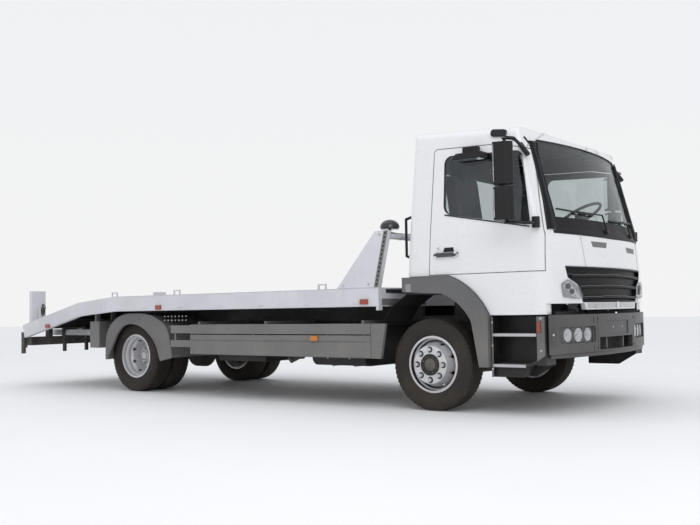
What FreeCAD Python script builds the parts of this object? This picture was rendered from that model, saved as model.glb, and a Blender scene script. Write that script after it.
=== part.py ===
# A two-axle flatbed recovery truck: cab over the front axle, fixed platform with a sloping tail,
# stowed loading ramps, winch behind the cab. Millimetres, +X to the nose, +Y to the left, +Z up.
# Lengthwise places are measured from the front axle; the whole part is moved to its middle at the end.
import FreeCAD
import Part
import math
import os

V = FreeCAD.Vector

# Overall reach
frontReach = 1330.0          # front axle to the middle of the bumper
rearReach = 6430.0           # front axle to the end of the tail
wheelbase = 4220.0

# Clearances
seat = 0.3                   # between a piece and what carries it
seam = 5.0                   # round a door, and between pieces that move
overrun = 30.0               # how far a cutting shape runs past what it cuts
pinFit = 0.5                 # radial room round a pin

# Wheels and tyres
tyreRadius = 420.0
tyreHalfWidth = 122.0
treadHalfWidth = 92.0
shoulderDrop = 16.0
shoulderHalfWidth = 113.0
shoulderRadius = 392.0
bulgeRadius = 335.0
rimSeatRadius = 247.0
flangeRadius = 260.5
flangeHalfWidth = 92.0
flangeThickness = 9.0
wellRadius = 222.0
wellHalfWidth = 40.0
rimThickness = 8.0
discRadius = 204.0
discHoleRadius = 93.5
discThickness = 12.0
discShoulderRadius = 172.0   # where the disc's flat face turns into its cone
frontDiscFace = 139.5        # from the wheel's middle plane out to the disc's bolting face
rearDiscFace = 139.5         # from the wheel's middle plane in to the disc's bolting face
ventCount = 8
ventRadius = 22.0
ventCircle = 207.0
nutCount = 8
nutCircle = 137.5
nutRadius = 16.0
nutHeight = 24.0
hubBore = 32.0
hubProud = 2.0
rearHubProud = 60.0
frontWheelY = 1000.0
rearOuterY = 985.0
rearInnerY = 706.0

# Frame
frameHalfWidth = 425.0
frameTop = 855.0
frameDepth = 200.0
frameFlange = 70.0
frameWall = 8.0
frameFrontX = 1000.0
frameRearX = -5050.0
frameTaperX = -4560.0
frameTaperRise = 95.0
crossDepth = 130.0
crossWidth = 80.0
crossPlaces = (930.0, -1190.0, -1900.0, -2760.0, -3560.0, -4900.0)

# Engine and driveline
engineRearX = -240.0
engineFrontX = 640.0
engineHalfWidth = 290.0
engineBottom = 520.0
engineTop = 1120.0
gearboxRearX = -980.0
gearboxHalfWidth = 190.0
gearboxBottom = 520.0
gearboxTop = 830.0
shaftRadius = 45.0
shaftZ = 600.0
yokeRadius = 62.0
yokeLength = 70.0

# Front axle and steering
kingpinY = 850.0
kingpinRadius = 22.0
axleBeamHeight = 90.0
axleBeamWidth = 80.0
axleBeamZ = 350.0
beamFlange = 18.0
beamWeb = 20.0
axleEndSetback = 20.0        # beam's end short of the boss, so that the steering arm clears it
forkHeight = 46.0
forkGap = 74.0
forkRadius = 52.0
knuckleTop = 96.0
hubCarrierRadius = 118.0
drumRadius = 190.0
drumHalfWidth = 48.0
drumY = 966.0
steerArmLength = 190.0
steerArmWidth = 42.0
steerArmThickness = 22.0
steerArmInset = 25.0
trackRodRadius = 19.0
trackRodDrop = 62.0

# Springs
springY = 390.0
springWidth = 70.0
springHalfLength = 620.0
springRise = 120.0
leafThickness = 14.0
frontLeaves = 3
rearLeaves = 6
rearSpringRise = 70.0
leafShortenShare = 0.16
springEyeRadius = 32.0

# Rear axle
axleTubeRadius = 70.0
diffRadius = 185.0
diffHalfLength = 150.0
rearDrumRadius = 196.0
rearDrumHalfWidth = 85.0
rearDrumY = 560.0

# Tanks, silencer, batteries, tool boxes
tankFrontX = -760.0
tankRearX = -1860.0
tankInnerY = 470.0
tankOuterY = 1110.0
tankBottom = 350.0
tankTop = 790.0
tankCorner = 90.0
airTankRadius = 115.0
airTankRearX = -2860.0
airTankFrontX = -2080.0
airTankY = 720.0
airTankZ = 560.0
silencerFrontX = -760.0
silencerRearX = -1420.0
silencerBottom = 380.0
batteryFrontX = -2060.0
batteryRearX = -2760.0
batteryBottom = 400.0
bracketThickness = 12.0
toolBoxRearX = -5014.0
toolBoxFrontX = -4828.0
toolBoxOuterY = 1150.0
toolBoxInnerY = 850.0
toolBoxBottom = 513.0
toolBoxTop = 840.0

# Platform
deckHalfWidth = 1250.0
deckRailWidth = 60.0
deckFrontX = -484.0
deckTop = 1135.0
deckBottom = 957.0
kinkFrontX = -4420.0
kinkRearX = -5125.0
kinkRearTop = 1074.0
kinkRearBottom = 905.0
deckRearTopX = -6340.0
deckRearBottomX = -6300.0
deckRearTop = 800.0
deckRearBottom = 633.0
tailStripBottom = 742.0
floorDrop = 30.0             # from the top of the side rails down to the floor
floorThickness = 24.0
floorLaneInnerY = 300.0
floorGap = 4.0
bearerDepth = 96.0
bearerWidth = 60.0
bearerWall = 6.0
bearerPitch = 465.0
subframeHalfWidth = 30.0
tailBeamDepth = 110.0
wingThickness = 50.0
wingTopFrontX = -360.0
wingTopRearX = -514.0
wingTopZ = 1665.0
wingFootX = -978.0
crossTubeX = -437.0
crossTubeZ = 1622.0
crossTubeRadius = 30.0
cornerBracketDrop = 36.0
ringSize = 105.0
ringHeight = 54.0
ringBar = 14.0
ringPlaces = (-4433.0, -3316.0, -1188.0)
postX = -6300.0
postHalfX = 34.0
postInnerY = 955.0
postOuterY = 1155.0
postTop = 1250.0
postFootHeight = 40.0
postFootMargin = 46.0
latchRadius = 16.0
latchLength = 190.0

# Ramps and their slides
rampInnerY = 455.0
rampOuterY = 805.0
rampBottom = 655.0
rampHeight = 75.0
rampRearX = -6405.0
rampFrontX = -4760.0
rampRail = 34.0
rampRungPitch = 118.0
rampRungWidth = 46.0
rampRungHeight = 26.0
rampHookLength = 60.0
guidePlaces = (-6060.0, -5200.0)
guideWall = 12.0
guideLength = 60.0
guideLegFoot = 440.0

# Tail
underrunFrontX = -6240.0
underrunRearX = -6350.0
underrunBottom = 530.0
underrunTop = 640.0
underrunHalfY = 1215.0
underrunArmY = 860.0
tailPlateTop = 705.0
tailPlateBottom = 500.0
tailPlateThickness = 24.0
tailFootBottom = 420.0
tailPlateWidth = 70.0
tailLampHeight = 90.0
tailLampWidth = 210.0
tailLampDepth = 45.0
tailLampY = 935.0

# Side guards
guardOuterY = 1250.0
guardThickness = 34.0
guardFrontX = -585.0
guardRearX = -3070.0
guardTop = 797.0
guardSplit = 690.0
guardSplitGap = 10.0
guardBottom = 470.0
guardRibZ = 622.0
guardRibDepth = 7.0
guardRibHeight = 9.0
guardEndTopX = -412.0
guardEndBottomX = -470.0
tailRailRearX = -3400.0
tailRailUpperBottom = 700.0
tailRailLowerTop = 623.0
tailRailLowerBottom = 546.0
guardArmPlaces = (-700.0, -1960.0, -2960.0)
guardArmHeight = 60.0
guardArmThickness = 30.0

# Rear mudguards
mudguardOuterY = 1200.0
mudguardInnerY = 555.0
mudguardSheet = 5.0
mudguardLip = 30.0
mudguardFrontFoot = 420.0
mudguardRearFoot = 378.0
mudguardStayRadius = 16.0
# Outlines from the axle, along and up from the ground, as shares of the tyre's radius
mudguardOuterShares = ((-0.986, 1.743), (-0.336, 2.224), (0.843, 2.212), (1.293, 2.06), (1.671, 1.848),
                       (1.824, 1.39))
mudguardInnerShares = ((1.193, 1.429), (0.543, 1.914), (-0.302, 1.917), (-0.864, 1.036))
mudguardRearShares = (-1.007, -0.886)
mudguardFrontShares = (1.379, 1.867)
mudguardStayShares = ((-0.981, 1.75), (1.662, 1.829))

# Front arches
archCentreZ = 565.0
archOuterRadius = 690.0
archInnerRadius = 521.0
archTop = 1218.0
archRearX = -262.0
archRearBottom = 1083.0
archOuterY = 1186.0
archInnerY = 1108.0
archLegFrontX = 627.0
archLegRearX = 531.0
archLegFoot = 412.0
linerSheet = 5.0
linerInnerY = 640.0
linerRearX = -588.0
linerRearTopX = -566.0
linerRearBend = 778.0
linerFoot = 426.0
linerTop = 1065.0
stayRadius = 13.0
archInnerFromDegrees = 28.0
archInnerToDegrees = 72.0
# Places from the front axle, along and up from the ground, as shares of the tyre's radius
linerRearShares = (-1.024, 2.286)
linerTopShares = (-0.629, 0.41)
linerFrontShares = ((1.012, 2.114), (1.171, 1.995), (1.21, 1.629), (1.257, 1.286))
linerStayShares = ((-1.305, 1.905), (1.233, 1.667))

# Steps
stepFrontX = 1138.0
stepRearX = 632.0
stepTop = 850.0
stepMiddle = 700.0
stepBottom = 437.0
stepOuterY = 1140.0
stepDepth = 190.0
stepWall = 6.0
stepLeg = 78.0
treadHeight = 26.0
stepFootX = 960.0
stepLowZ = 330.0

# Bumper
bumperBow = 4000.0
bumperCorner = 150.0
bumperHalfWidth = 1150.0
bumperTop = 858.0
bumperBottom = 490.0
bumperWall = 46.0
bumperRearX = 1153.0
bumperLip = 34.0
bumperEdge = 14.0
lampInnerY = 470.0
lampOuterY = 985.0
lampBottom = 612.0
lampTop = 752.0
lampCorner = 22.0
intakeHalfY = 400.0
intakeBottom = 540.0
intakeTop = 650.0
plateHalfY = 262.0
plateBottom = 672.0
plateTop = 792.0
plateSink = 8.0
bumperSplitY = 436.0
bumperSplitWidth = 5.0

# Tilt pivot of the cab
tiltX = 1200.0
tiltZ = 700.0
tiltPinRadius = 20.0
tiltEyeRadius = 44.0
tiltArmInnerY = 345.0
tiltArmOuterY = 385.0
tiltArmTopX = 985.0
cabTilt = 50.0               # degrees
tiltFootFront = 40.0         # the arm's foot, upright once the cab is open
tiltFootFrontReach = 175.0
tiltFootRear = 25.0
tiltFootRearReach = 227.0

# Cab shell: height, middle of the front, half width and bow of each level
cabWall = 45.0
cabSkin = 20.0
cabRearX = -245.0
cabRearLean = 60.0
cabSillZ = 862.0
cabSideFootZ = 1225.0
cabFrontFootZ = 952.0
cabNoseFootZ = 897.0
cabNoseHalfY = 585.0
cabWaistZ = 1255.0
cabGlassBottomZ = 1588.0
cabGlassTopZ = 2380.0
cabTopZ = 2604.0
cabFootFrontX = 1316.0
cabWaistFrontX = 1318.0
cabGlassBottomFrontX = 1286.0
cabGlassTopFrontX = 1084.0
cabFootHalfWidth = 1143.0
cabWaistHalfWidth = 1147.0
cabGlassBottomHalfWidth = 1136.0
cabGlassTopHalfWidth = 1074.0
cabBow = 3900.0
cabCorner = 150.0
cabTopCorner = 95.0
cabRearCorner = 80.0
cabRoofCrown = 20.0
cabRoofEdge = 95.0
roofShoulderRearZ = 2583.0
roofShoulderFrontX = 840.0
roofShoulderFrontZ = 2512.0
roofFrontX = 935.0
roofFrontZ = 2482.0
roofBreakX = 790.0
roofBreakZ = 2545.0
roofRiseX = 600.0
roofRiseZ = 2625.0
roofBevelX = -100.0
roofBevelTopZ = 2640.0
roofBevelFootZ = 2480.0
doorFrontTopX = 988.0
doorFrontTopZ = 2292.0
doorTopZ = 2384.0
doorTopFrontX = 671.0
doorTopFrontZ = 2358.0
doorRearTopX = 60.0
doorRearFootX = 20.0
doorFrontWaistX = 1130.0
doorFrontWaistZ = 1540.0
doorFrontFootX = 1136.0
doorFootZ = 1232.0
doorCorner = 36.0
doorStep = 14.0
windowRearX = 165.0
windowTopZ = 2312.0
windowFrontTopX = 934.0
windowFrontTopZ = 2278.0
windowFrontFootX = 1030.0
windowFrontFootZ = 1618.0
windowRearFootZ = 1780.0
windowCorners = (75.0, 60.0, 35.0, 95.0)
glassThickness = 6.0
glassSink = 12.0
screenTopHalfY = 905.0
pillarWidth = 46.0
screenBottomHalfY = 1110.0
screenTopZ = 2392.0
screenBottomZ = 1572.0
screenCorner = 60.0
rearWindowHalfY = 560.0
rearWindowBottom = 1850.0
rearWindowTop = 2250.0
hingeX = 1140.0
hingeY = 1112.0
hingeRoomRadius = 73.0       # swept by the door's inner front corner at the floor
hingeRoomDashRadius = 144.0  # and beside the dashboard

# Grille and lamps on the cab front
grilleTopHalfY = 868.0
grilleTopZ = 1256.0
grilleShoulderHalfY = 835.0
grilleShoulderZ = 1176.0
grilleWaistHalfY = 700.0
grilleWaistZ = 1118.0
grilleFootHalfY = 622.0
grilleFootZ = 976.0
grilleSlatPlaces = (1205.0, 1108.0, 1012.0)
grilleSlatHeight = 56.0
grilleDepth = 34.0
grilleBack = 8.0
grilleEdge = 16.0
cornerLampProud = 22.0
cornerLampOuterY = 945.0
cornerLampLowY = 766.0
cornerLampFootY = 654.0
cornerLampTopZ = 1120.0
cornerLampMiddleZ = 1006.0

# Cab inside
floorTopZ = 1272.0
floorPlate = 36.0
tunnelHalfWidth = 400.0
tunnelRearX = -90.0
tunnelFrontX = 760.0
tunnelTop = 1470.0
tunnelWall = 18.0
seatY = 600.0
seatHalfWidth = 240.0
seatRearX = 60.0
seatFrontX = 560.0
seatBottom = 1500.0
seatThickness = 120.0
seatBackThickness = 120.0
seatBackTop = 2180.0
seatBackLean = 70.0
headrestHeight = 170.0
headrestHalfWidth = 130.0
headrestThickness = 80.0
headrestLean = 12.0
pedestalHalfWidth = 170.0
dashRearX = 800.0
dashBottom = 1400.0
dashTop = 1700.0
dashLipZ = 1600.0
wheelY = 600.0
steerWheelX = 735.0
steerWheelZ = 1850.0
steerWheelRadius = 225.0
steerWheelBar = 15.0
steerWheelTilt = 28.0
steerHubRadius = 55.0
columnRadius = 30.0

# Mirrors and small cab pieces
mirrorInnerY = 1285.0
mirrorOuterY = 1430.0
mirrorRearX = 838.0
mirrorDepth = 165.0
mirrorNoseShare = 0.7        # of the depth, where the front corners begin
mirrorTop = 2310.0
mirrorSplitTop = 1955.0
mirrorSplitBottom = 1930.0
mirrorBottom = 1655.0
mirrorCorner = 40.0
mirrorArmRadius = 14.0
mirrorFootLow = 1640.0
mirrorFootHigh = 2280.0
mirrorFootX = 1085.0
mirrorFootHighX = 965.0
mirrorPadRadius = 34.0
mirrorPadHalf = 46.0
mirrorHighPadRadius = 22.0
mirrorHighPadRun = 36.0
mirrorHighPadRise = 52.0
mirrorPivotX = 960.0
mirrorPivotY = 1150.0
mirrorFold = 40.0            # degrees, for the left mirror, which is parked folded back
kerbMirrorX = 455.0
kerbMirrorZ = 2270.0
kerbMirrorHalf = 152.0
kerbMirrorHeight = 58.0
kerbMirrorOuterY = 1195.0
kerbMirrorSlant = 45.0
kerbNeckHalf = 78.0
kerbNeckTop = 2362.0
kerbNeckOuterY = 1122.0
kerbMirrorCorner = 12.0
handleX = 200.0
handleZ = 1408.0
handleLength = 248.0
handleHeight = 46.0
handleCornerShare = 0.45     # of the handle's height
handleProud = 22.0
roofLampX = 720.0
roofLampZ = 2455.0
roofLampLength = 145.0
roofLampHeight = 66.0
roofLampSlant = 9.0
railRadius = 13.0
railX = -335.0
railY = 985.0
railTopZ = 1780.0
railBottomZ = 1430.0
railFootTopZ = 1810.0
railFootBottomZ = 1385.0

# Work lamp on the headboard
workLampX = -452.0
workLampY = 1090.0
workLampZ = 1700.0
workLampRadius = 95.0
workLampHeight = 80.0
workLampFoot = 30.0
workLampDomeShares = ((1.0, 0.0), (0.93, 0.38), (0.72, 0.7), (0.4, 0.92), (0.12, 1.0))   # of radius and height
workLampNeckShare = 0.9

# Winch
winchX = -670.0
winchHalfWidth = 260.0
winchPlate = 16.0
winchPlateHeight = 300.0
winchPlateLength = 220.0
winchFlangeRadius = 105.0
winchFlange = 10.0
winchDrumZ = 1280.0
winchAxleRadius = 24.0
winchMotorRadius = 70.0
winchMotorLength = 120.0
winchBaseThickness = 14.0
ropeRadius = 88.0

# Small lamps
markerLength = 92.0
markerHeight = 48.0
markerProud = 14.0
deckMarkers = ((-651.0, 1003.0), (-3598.0, 995.0), (-5765.0, 784.0))
guardMarkers = ((-1272.0, 655.0),)
stepMarkerX = 1085.0
stepMarkerZ = 758.0

normals = {"side": V(0, 1, 0), "front": V(1, 0, 0), "top": V(0, 0, 1)}


def inSpace(a, b, plane, level):
    if plane == "side":
        return V(a, level, b)
    if plane == "front":
        return V(level, a, b)
    return V(a, b, level)


def box(x0, x1, y0, y1, z0, z1):
    return Part.makeBox(x1 - x0, y1 - y0, z1 - z0, V(x0, y0, z0))


# A box on one side of the middle, between two distances from it
def sideBox(side, x0, x1, near, far, z0, z1):
    return box(x0, x1, min(side * near, side * far), max(side * near, side * far), z0, z1)


# The four corners of an upright rectangle
def rectangle(a0, a1, b0, b1):
    return [(a0, b0), (a1, b0), (a1, b1), (a0, b1)]


def mirrored(shape):
    return shape.mirror(V(0, 0, 0), V(0, 1, 0))


def bothSides(shapes):
    pairs = []
    for shape in shapes:
        pairs.append(shape)
        pairs.append(mirrored(shape))
    return pairs


# A closed outline whose corners are rounded by one radius, or by one for each corner
def outlineFace(points, radius, plane, level):
    corners = [V(a, b, 0) for a, b in points]
    count = len(corners)
    radii = radius if isinstance(radius, (list, tuple)) else [radius] * count
    edges = []
    lastEnd = None
    firstStart = None
    for i in range(count):
        corner = corners[i]
        toBefore = (corners[i - 1] - corner).normalize()
        toAfter = (corners[(i + 1) % count] - corner).normalize()
        start = corner
        end = corner
        if radii[i] > 0:
            half = toBefore.getAngle(toAfter) / 2
            reach = radii[i] / math.tan(half)
            start = corner + toBefore * reach
            end = corner + toAfter * reach
            middle = corner + (toBefore + toAfter).normalize() * (radii[i] / math.sin(half) - radii[i])
        if lastEnd is not None:
            edges.append(Part.LineSegment(inSpace(lastEnd.x, lastEnd.y, plane, level),
                                          inSpace(start.x, start.y, plane, level)).toShape())
        else:
            firstStart = start
        if radii[i] > 0:
            edges.append(Part.Arc(inSpace(start.x, start.y, plane, level),
                                  inSpace(middle.x, middle.y, plane, level),
                                  inSpace(end.x, end.y, plane, level)).toShape())
        lastEnd = end
    edges.append(Part.LineSegment(inSpace(lastEnd.x, lastEnd.y, plane, level),
                                  inSpace(firstStart.x, firstStart.y, plane, level)).toShape())
    return Part.Face(Part.Wire(edges))


def slab(points, plane, low, high, radius=0):
    return outlineFace(points, radius, plane, low).extrude(normals[plane] * (high - low))


def rod(start, end, radius):
    along = end - start
    return Part.makeCylinder(radius, along.Length, start, along)


# A round bar along straight runs, bent with a tangent arc at each inner point
def bentRod(points, radius, bend):
    edges = []
    last = points[0]
    for i in range(1, len(points) - 1):
        toBefore = (points[i - 1] - points[i]).normalize()
        toAfter = (points[i + 1] - points[i]).normalize()
        half = toBefore.getAngle(toAfter) / 2
        reach = bend / math.tan(half)
        start = points[i] + toBefore * reach
        end = points[i] + toAfter * reach
        middle = points[i] + (toBefore + toAfter).normalize() * (bend / math.sin(half) - bend)
        edges.append(Part.LineSegment(last, start).toShape())
        edges.append(Part.Arc(start, middle, end).toShape())
        last = end
    edges.append(Part.LineSegment(last, points[-1]).toShape())
    circle = Part.Wire(Part.Circle(points[0], points[1] - points[0], radius).toShape())
    return Part.Wire(edges).makePipeShell([circle], True, False)


# A shape turned about a line along Y: points are (radius, distance along Y)
def turned(points, x, y, z):
    corners = [V(x + r, y + along, z) for r, along in points]
    face = Part.Face(Part.makePolygon(corners + corners[:1]))
    return face.revolve(V(x, y, z), V(0, 1, 0), 360)


def ringAt(x, y, z, outer, inner, width):
    tube = Part.makeCylinder(outer, width, V(x, y, z), V(0, 1, 0))
    hole = Part.makeCylinder(inner, width + 2 * overrun, V(x, y - overrun, z), V(0, 1, 0))
    return tube.cut(hole)


def fused(shapes):
    whole = shapes[0]
    if len(shapes) > 1:
        whole = shapes[0].fuse(shapes[1:])
    return whole.removeSplitter()


# Wheels

def tyre(y):
    half = [(flangeRadius + seat, flangeHalfWidth), (bulgeRadius, tyreHalfWidth),
            (shoulderRadius, shoulderHalfWidth),
            (tyreRadius - shoulderDrop / 3, treadHalfWidth + shoulderDrop / 2)]
    crown = [(tyreRadius, treadHalfWidth / 2)]
    side = half + crown
    back = [(r, -a) for r, a in reversed(side)]
    bead = flangeHalfWidth - flangeThickness - seat
    foot = [(flangeRadius + seat, -bead), (rimSeatRadius + seat, -bead), (rimSeatRadius + seat, bead),
            (flangeRadius + seat, bead)]
    return turned(side + back + foot, 0, y, tyreRadius)


# The rim's section, from the outer flange through the drop well to the inner flange
def rimBarrel(y):
    seatBore = rimSeatRadius - rimThickness
    wellBore = wellRadius - rimThickness
    outside = [(flangeRadius, flangeHalfWidth), (flangeRadius, flangeHalfWidth - flangeThickness),
               (rimSeatRadius, flangeHalfWidth - flangeThickness),
               (rimSeatRadius, wellHalfWidth + rimThickness * 2), (wellRadius, wellHalfWidth)]
    inside = [(r, -a) for r, a in reversed(outside)]
    bore = [(seatBore, -flangeHalfWidth), (seatBore, -wellHalfWidth - rimThickness),
            (wellBore, -wellHalfWidth + rimThickness), (wellBore, wellHalfWidth - rimThickness),
            (seatBore, wellHalfWidth + rimThickness), (seatBore, flangeHalfWidth)]
    return turned(outside + inside + bore, 0, y, tyreRadius)


# The wheel's disc, with its bolting face at one side and its skirt running back to the barrel
def wheelDisc(y, face, side):
    back = side * wellHalfWidth
    step = side * discThickness
    wellBore = wellRadius - rimThickness
    skirt = [(discHoleRadius, face), (discShoulderRadius, face), (discRadius, back), (wellBore, back - 2 * step),
             (wellBore, back - 3 * step), (discRadius - discThickness, back - step),
             (discShoulderRadius - discThickness / 2, face - step), (discHoleRadius, face - step)]
    disc = turned(skirt, 0, y, tyreRadius)
    vents = []
    for i in range(ventCount):
        angle = math.radians(360.0 / ventCount * (i + 0.5))
        x = ventCircle * math.cos(angle)
        z = tyreRadius + ventCircle * math.sin(angle)
        start = V(x, y + face - 4 * overrun, z)
        vents.append(Part.makeCylinder(ventRadius, 8 * overrun, start, V(0, 1, 0)))
    return disc.cut(vents)


def wheelNuts(y, face, side):
    nuts = []
    for i in range(nutCount):
        angle = math.radians(360.0 / nutCount * i)
        place = V(nutCircle * math.cos(angle), y + face, tyreRadius + nutCircle * math.sin(angle))
        nuts.append(Part.makeCylinder(nutRadius, nutHeight, place, V(0, side, 0)))
    return nuts


def hubShape(y, inner, outer, end):
    points = [(hubBore + pinFit, inner), (hubCarrierRadius, inner), (hubCarrierRadius, inner + flangeThickness),
              (discHoleRadius - seat, inner + flangeThickness), (discHoleRadius - seat, outer),
              (discHoleRadius - 3 * flangeThickness, end), (0, end), (0, end - flangeThickness),
              (hubBore + pinFit, end - flangeThickness)]
    return turned(points, 0, y, tyreRadius)


def frontWheel():
    tyres = [tyre(frontWheelY)]
    face = frontDiscFace
    wheel = [rimBarrel(frontWheelY), wheelDisc(frontWheelY, face, 1)] + wheelNuts(frontWheelY, face, 1)
    rim = fused(wheel)
    inner = face - discThickness - flangeThickness - seat
    hub = hubShape(frontWheelY, inner, face - discThickness, face + hubProud)
    return tyres, [rim, hub]


def rearWheel():
    tyres = [tyre(rearOuterY), tyre(rearInnerY)]
    outerFace = -rearDiscFace
    outer = fused([rimBarrel(rearOuterY), wheelDisc(rearOuterY, outerFace, -1)]
                  + wheelNuts(rearOuterY, outerFace + discThickness, 1))
    innerFace = (rearOuterY + outerFace - seat) - rearInnerY
    inner = fused([rimBarrel(rearInnerY), wheelDisc(rearInnerY, innerFace, 1)])
    shoulder = rearOuterY + outerFace + discThickness * 4 - rearInnerY
    end = shoulder + rearHubProud
    behind = innerFace - discThickness - seat
    bore = hubBore + pinFit
    spigot = discHoleRadius - seat
    points = [(bore, behind - flangeThickness), (hubCarrierRadius, behind - flangeThickness),
              (hubCarrierRadius, behind), (spigot, behind), (spigot, shoulder),
              (discHoleRadius - 3 * flangeThickness, end), (0, end), (0, end - flangeThickness),
              (bore, end - flangeThickness)]
    hub = turned(points, 0, rearInnerY, tyreRadius)
    return tyres, [outer, inner, hub]


# Frame, engine and axles

def frameRail():
    z0 = frameTop - frameDepth
    outer = frameHalfWidth
    inner = frameHalfWidth - frameFlange
    web = frameHalfWidth - frameWall
    section = [(outer, z0), (outer, frameTop), (inner, frameTop), (inner, frameTop - frameWall),
               (web, frameTop - frameWall), (web, z0 + frameWall), (inner, z0 + frameWall), (inner, z0)]
    rail = slab(section, "front", frameRearX, frameFrontX)
    taper = slab([(frameTaperX, z0 - overrun), (frameTaperX, z0), (frameRearX, z0 + frameTaperRise),
                  (frameRearX - overrun, z0 + frameTaperRise), (frameRearX - overrun, z0 - overrun)],
                 "side", inner - overrun, outer + overrun)
    horn = slab([(frameFrontX - frameFlange, frameTop - frameFlange), (frameFrontX, frameTop - frameFlange),
                 (tiltX + tiltEyeRadius, tiltZ + tiltEyeRadius), (tiltX + tiltEyeRadius, tiltZ - tiltEyeRadius),
                 (frameFrontX - frameFlange, tiltZ - tiltEyeRadius)], "side", web, outer)
    start = V(tiltX, tiltArmInnerY - seam, tiltZ)
    pin = Part.makeCylinder(tiltPinRadius, web - tiltArmInnerY + seam, start, V(0, 1, 0))
    return rail.cut(taper).fuse([horn, pin]).removeSplitter()


def frameCrossmembers():
    web = frameHalfWidth - frameWall
    members = []
    for x in crossPlaces:
        z0 = frameTop - frameWall - crossDepth
        x0 = x - crossWidth / 2
        x1 = x + crossWidth / 2
        section = [(x0, z0), (x1, z0), (x1, z0 + frameWall), (x0 + frameWall, z0 + frameWall),
                   (x0 + frameWall, z0 + crossDepth - frameWall), (x1, z0 + crossDepth - frameWall),
                   (x1, z0 + crossDepth), (x0, z0 + crossDepth)]
        members.append(slab(section, "side", -web, web))
    return members


def driveline():
    slope = engineHalfWidth / 3
    block = slab([(engineRearX, engineBottom), (engineFrontX, engineBottom), (engineFrontX, engineTop - slope),
                  (engineFrontX - slope, engineTop), (engineRearX, engineTop)],
                 "side", -engineHalfWidth, engineHalfWidth)
    gearbox = slab([(gearboxRearX, gearboxBottom + gearboxHalfWidth / 2), (engineRearX, gearboxBottom),
                    (engineRearX, gearboxTop), (gearboxRearX, gearboxTop - gearboxHalfWidth / 2)],
                   "side", -gearboxHalfWidth, gearboxHalfWidth)
    front = V(gearboxRearX, 0, (gearboxBottom + gearboxTop) / 2)
    rear = V(-wheelbase + diffRadius, 0, tyreRadius)
    middle = V((front.x + rear.x) / 2, 0, shaftZ)
    yoke = Part.makeCylinder(yokeRadius, yokeLength, front - V(yokeLength, 0, 0), V(1, 0, 0))
    shaft = fused([rod(front, middle, shaftRadius), Part.makeSphere(yokeRadius, middle),
                   rod(middle, rear, shaftRadius), yoke])
    wide = yokeRadius + overrun
    axleEnd = box(rear.x - wide, rear.x + seat, -wide, wide, rear.z - wide, rear.z + wide)
    gearEnd = box(gearboxRearX - seat, gearboxRearX + wide, -wide, wide, 0, frameTop)
    return [fused([block, gearbox]), shaft.cut([axleEnd, gearEnd])]


def frontAxle():
    z0 = axleBeamZ - axleBeamHeight / 2
    z1 = axleBeamZ + axleBeamHeight / 2
    half = axleBeamWidth / 2
    web = beamWeb / 2
    root = beamFlange * 1.5
    section = [(-half, z0), (half, z0), (half, z0 + beamFlange), (web, z0 + root), (web, z1 - root),
               (half, z1 - beamFlange), (half, z1), (-half, z1), (-half, z1 - beamFlange), (-web, z1 - root),
               (-web, z0 + root), (-half, z0 + beamFlange)]
    end = kingpinY - forkRadius - axleEndSetback
    beam = slab(section, "side", -end, end)
    low = tyreRadius - forkGap / 2
    high = tyreRadius + forkGap / 2
    reach = kingpinY - forkRadius * 2.6
    ends = []
    for side in (-1, 1):
        boss = Part.makeCylinder(forkRadius, forkGap, V(0, side * kingpinY, low))
        neck = slab([(side * reach, z0), (side * kingpinY, low), (side * kingpinY, high), (side * reach, z1)],
                    "front", -half * 0.65, half * 0.65)
        for level in (0, high):
            neck = neck.cut(Part.makeCylinder(forkRadius + seam, low, V(0, side * kingpinY, level)))
        pin = Part.makeCylinder(kingpinRadius, forkGap + forkHeight * 2, V(0, side * kingpinY, low - forkHeight))
        ends.append(fused([boss, neck, pin]))
    return [fused([beam] + ends)]


# One steering knuckle: two eyes on the kingpin, spindle, brake drum plate and steering arm
def knuckle():
    low = tyreRadius - forkGap / 2
    high = tyreRadius + forkGap / 2
    bore = Part.makeCylinder(kingpinRadius + pinFit, 2 * knuckleTop + forkGap + 2 * overrun,
                             V(0, kingpinY, low - knuckleTop - overrun))
    eyes = [Part.makeCylinder(forkRadius, forkHeight - pinFit, V(0, kingpinY, low - forkHeight)),
            Part.makeCylinder(forkRadius, forkHeight - pinFit, V(0, kingpinY, high + pinFit))]
    cheekInner = kingpinY + forkRadius + seam
    plateY = drumY - drumHalfWidth
    cheek = box(-forkRadius, forkRadius, cheekInner, plateY, low - forkHeight, high + forkHeight)
    arms = [box(-forkRadius, forkRadius, kingpinY, cheekInner, low - forkHeight, low - pinFit),
            box(-forkRadius, forkRadius, kingpinY, cheekInner, high + pinFit, high + forkHeight)]
    plate = Part.makeCylinder(drumRadius, flangeThickness, V(0, plateY, tyreRadius), V(0, 1, 0))
    shaftEnd = frontWheelY + frontDiscFace - discThickness
    spindle = Part.makeCylinder(hubBore, shaftEnd - cheekInner, V(0, cheekInner, tyreRadius), V(0, 1, 0))
    armZ = low - forkHeight - steerArmThickness
    arm = slab([(forkRadius / 2, kingpinY - steerArmWidth / 2), (forkRadius / 2, kingpinY + steerArmWidth / 2),
                (-steerArmLength, kingpinY - steerArmInset + steerArmWidth / 2),
                (-steerArmLength, kingpinY - steerArmInset - steerArmWidth / 2)],
               "top", armZ, armZ + steerArmThickness)
    whole = fused(eyes + [cheek, plate, spindle, arm] + arms)
    return whole.cut(bore)


# Track rod between the two steering arms, hung under them
def trackRod():
    armZ = tyreRadius - forkGap / 2 - forkHeight - steerArmThickness
    y = kingpinY - steerArmInset
    z = armZ - trackRodDrop / 2
    bar = rod(V(-steerArmLength, -y, z), V(-steerArmLength, y, z), trackRodRadius)
    ends = []
    for side in (-1, 1):
        foot = V(-steerArmLength, side * y, armZ - trackRodDrop)
        ends.append(Part.makeCylinder(trackRodRadius * 1.3, trackRodDrop - pinFit, foot))
    return [fused([bar] + ends)]


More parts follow.
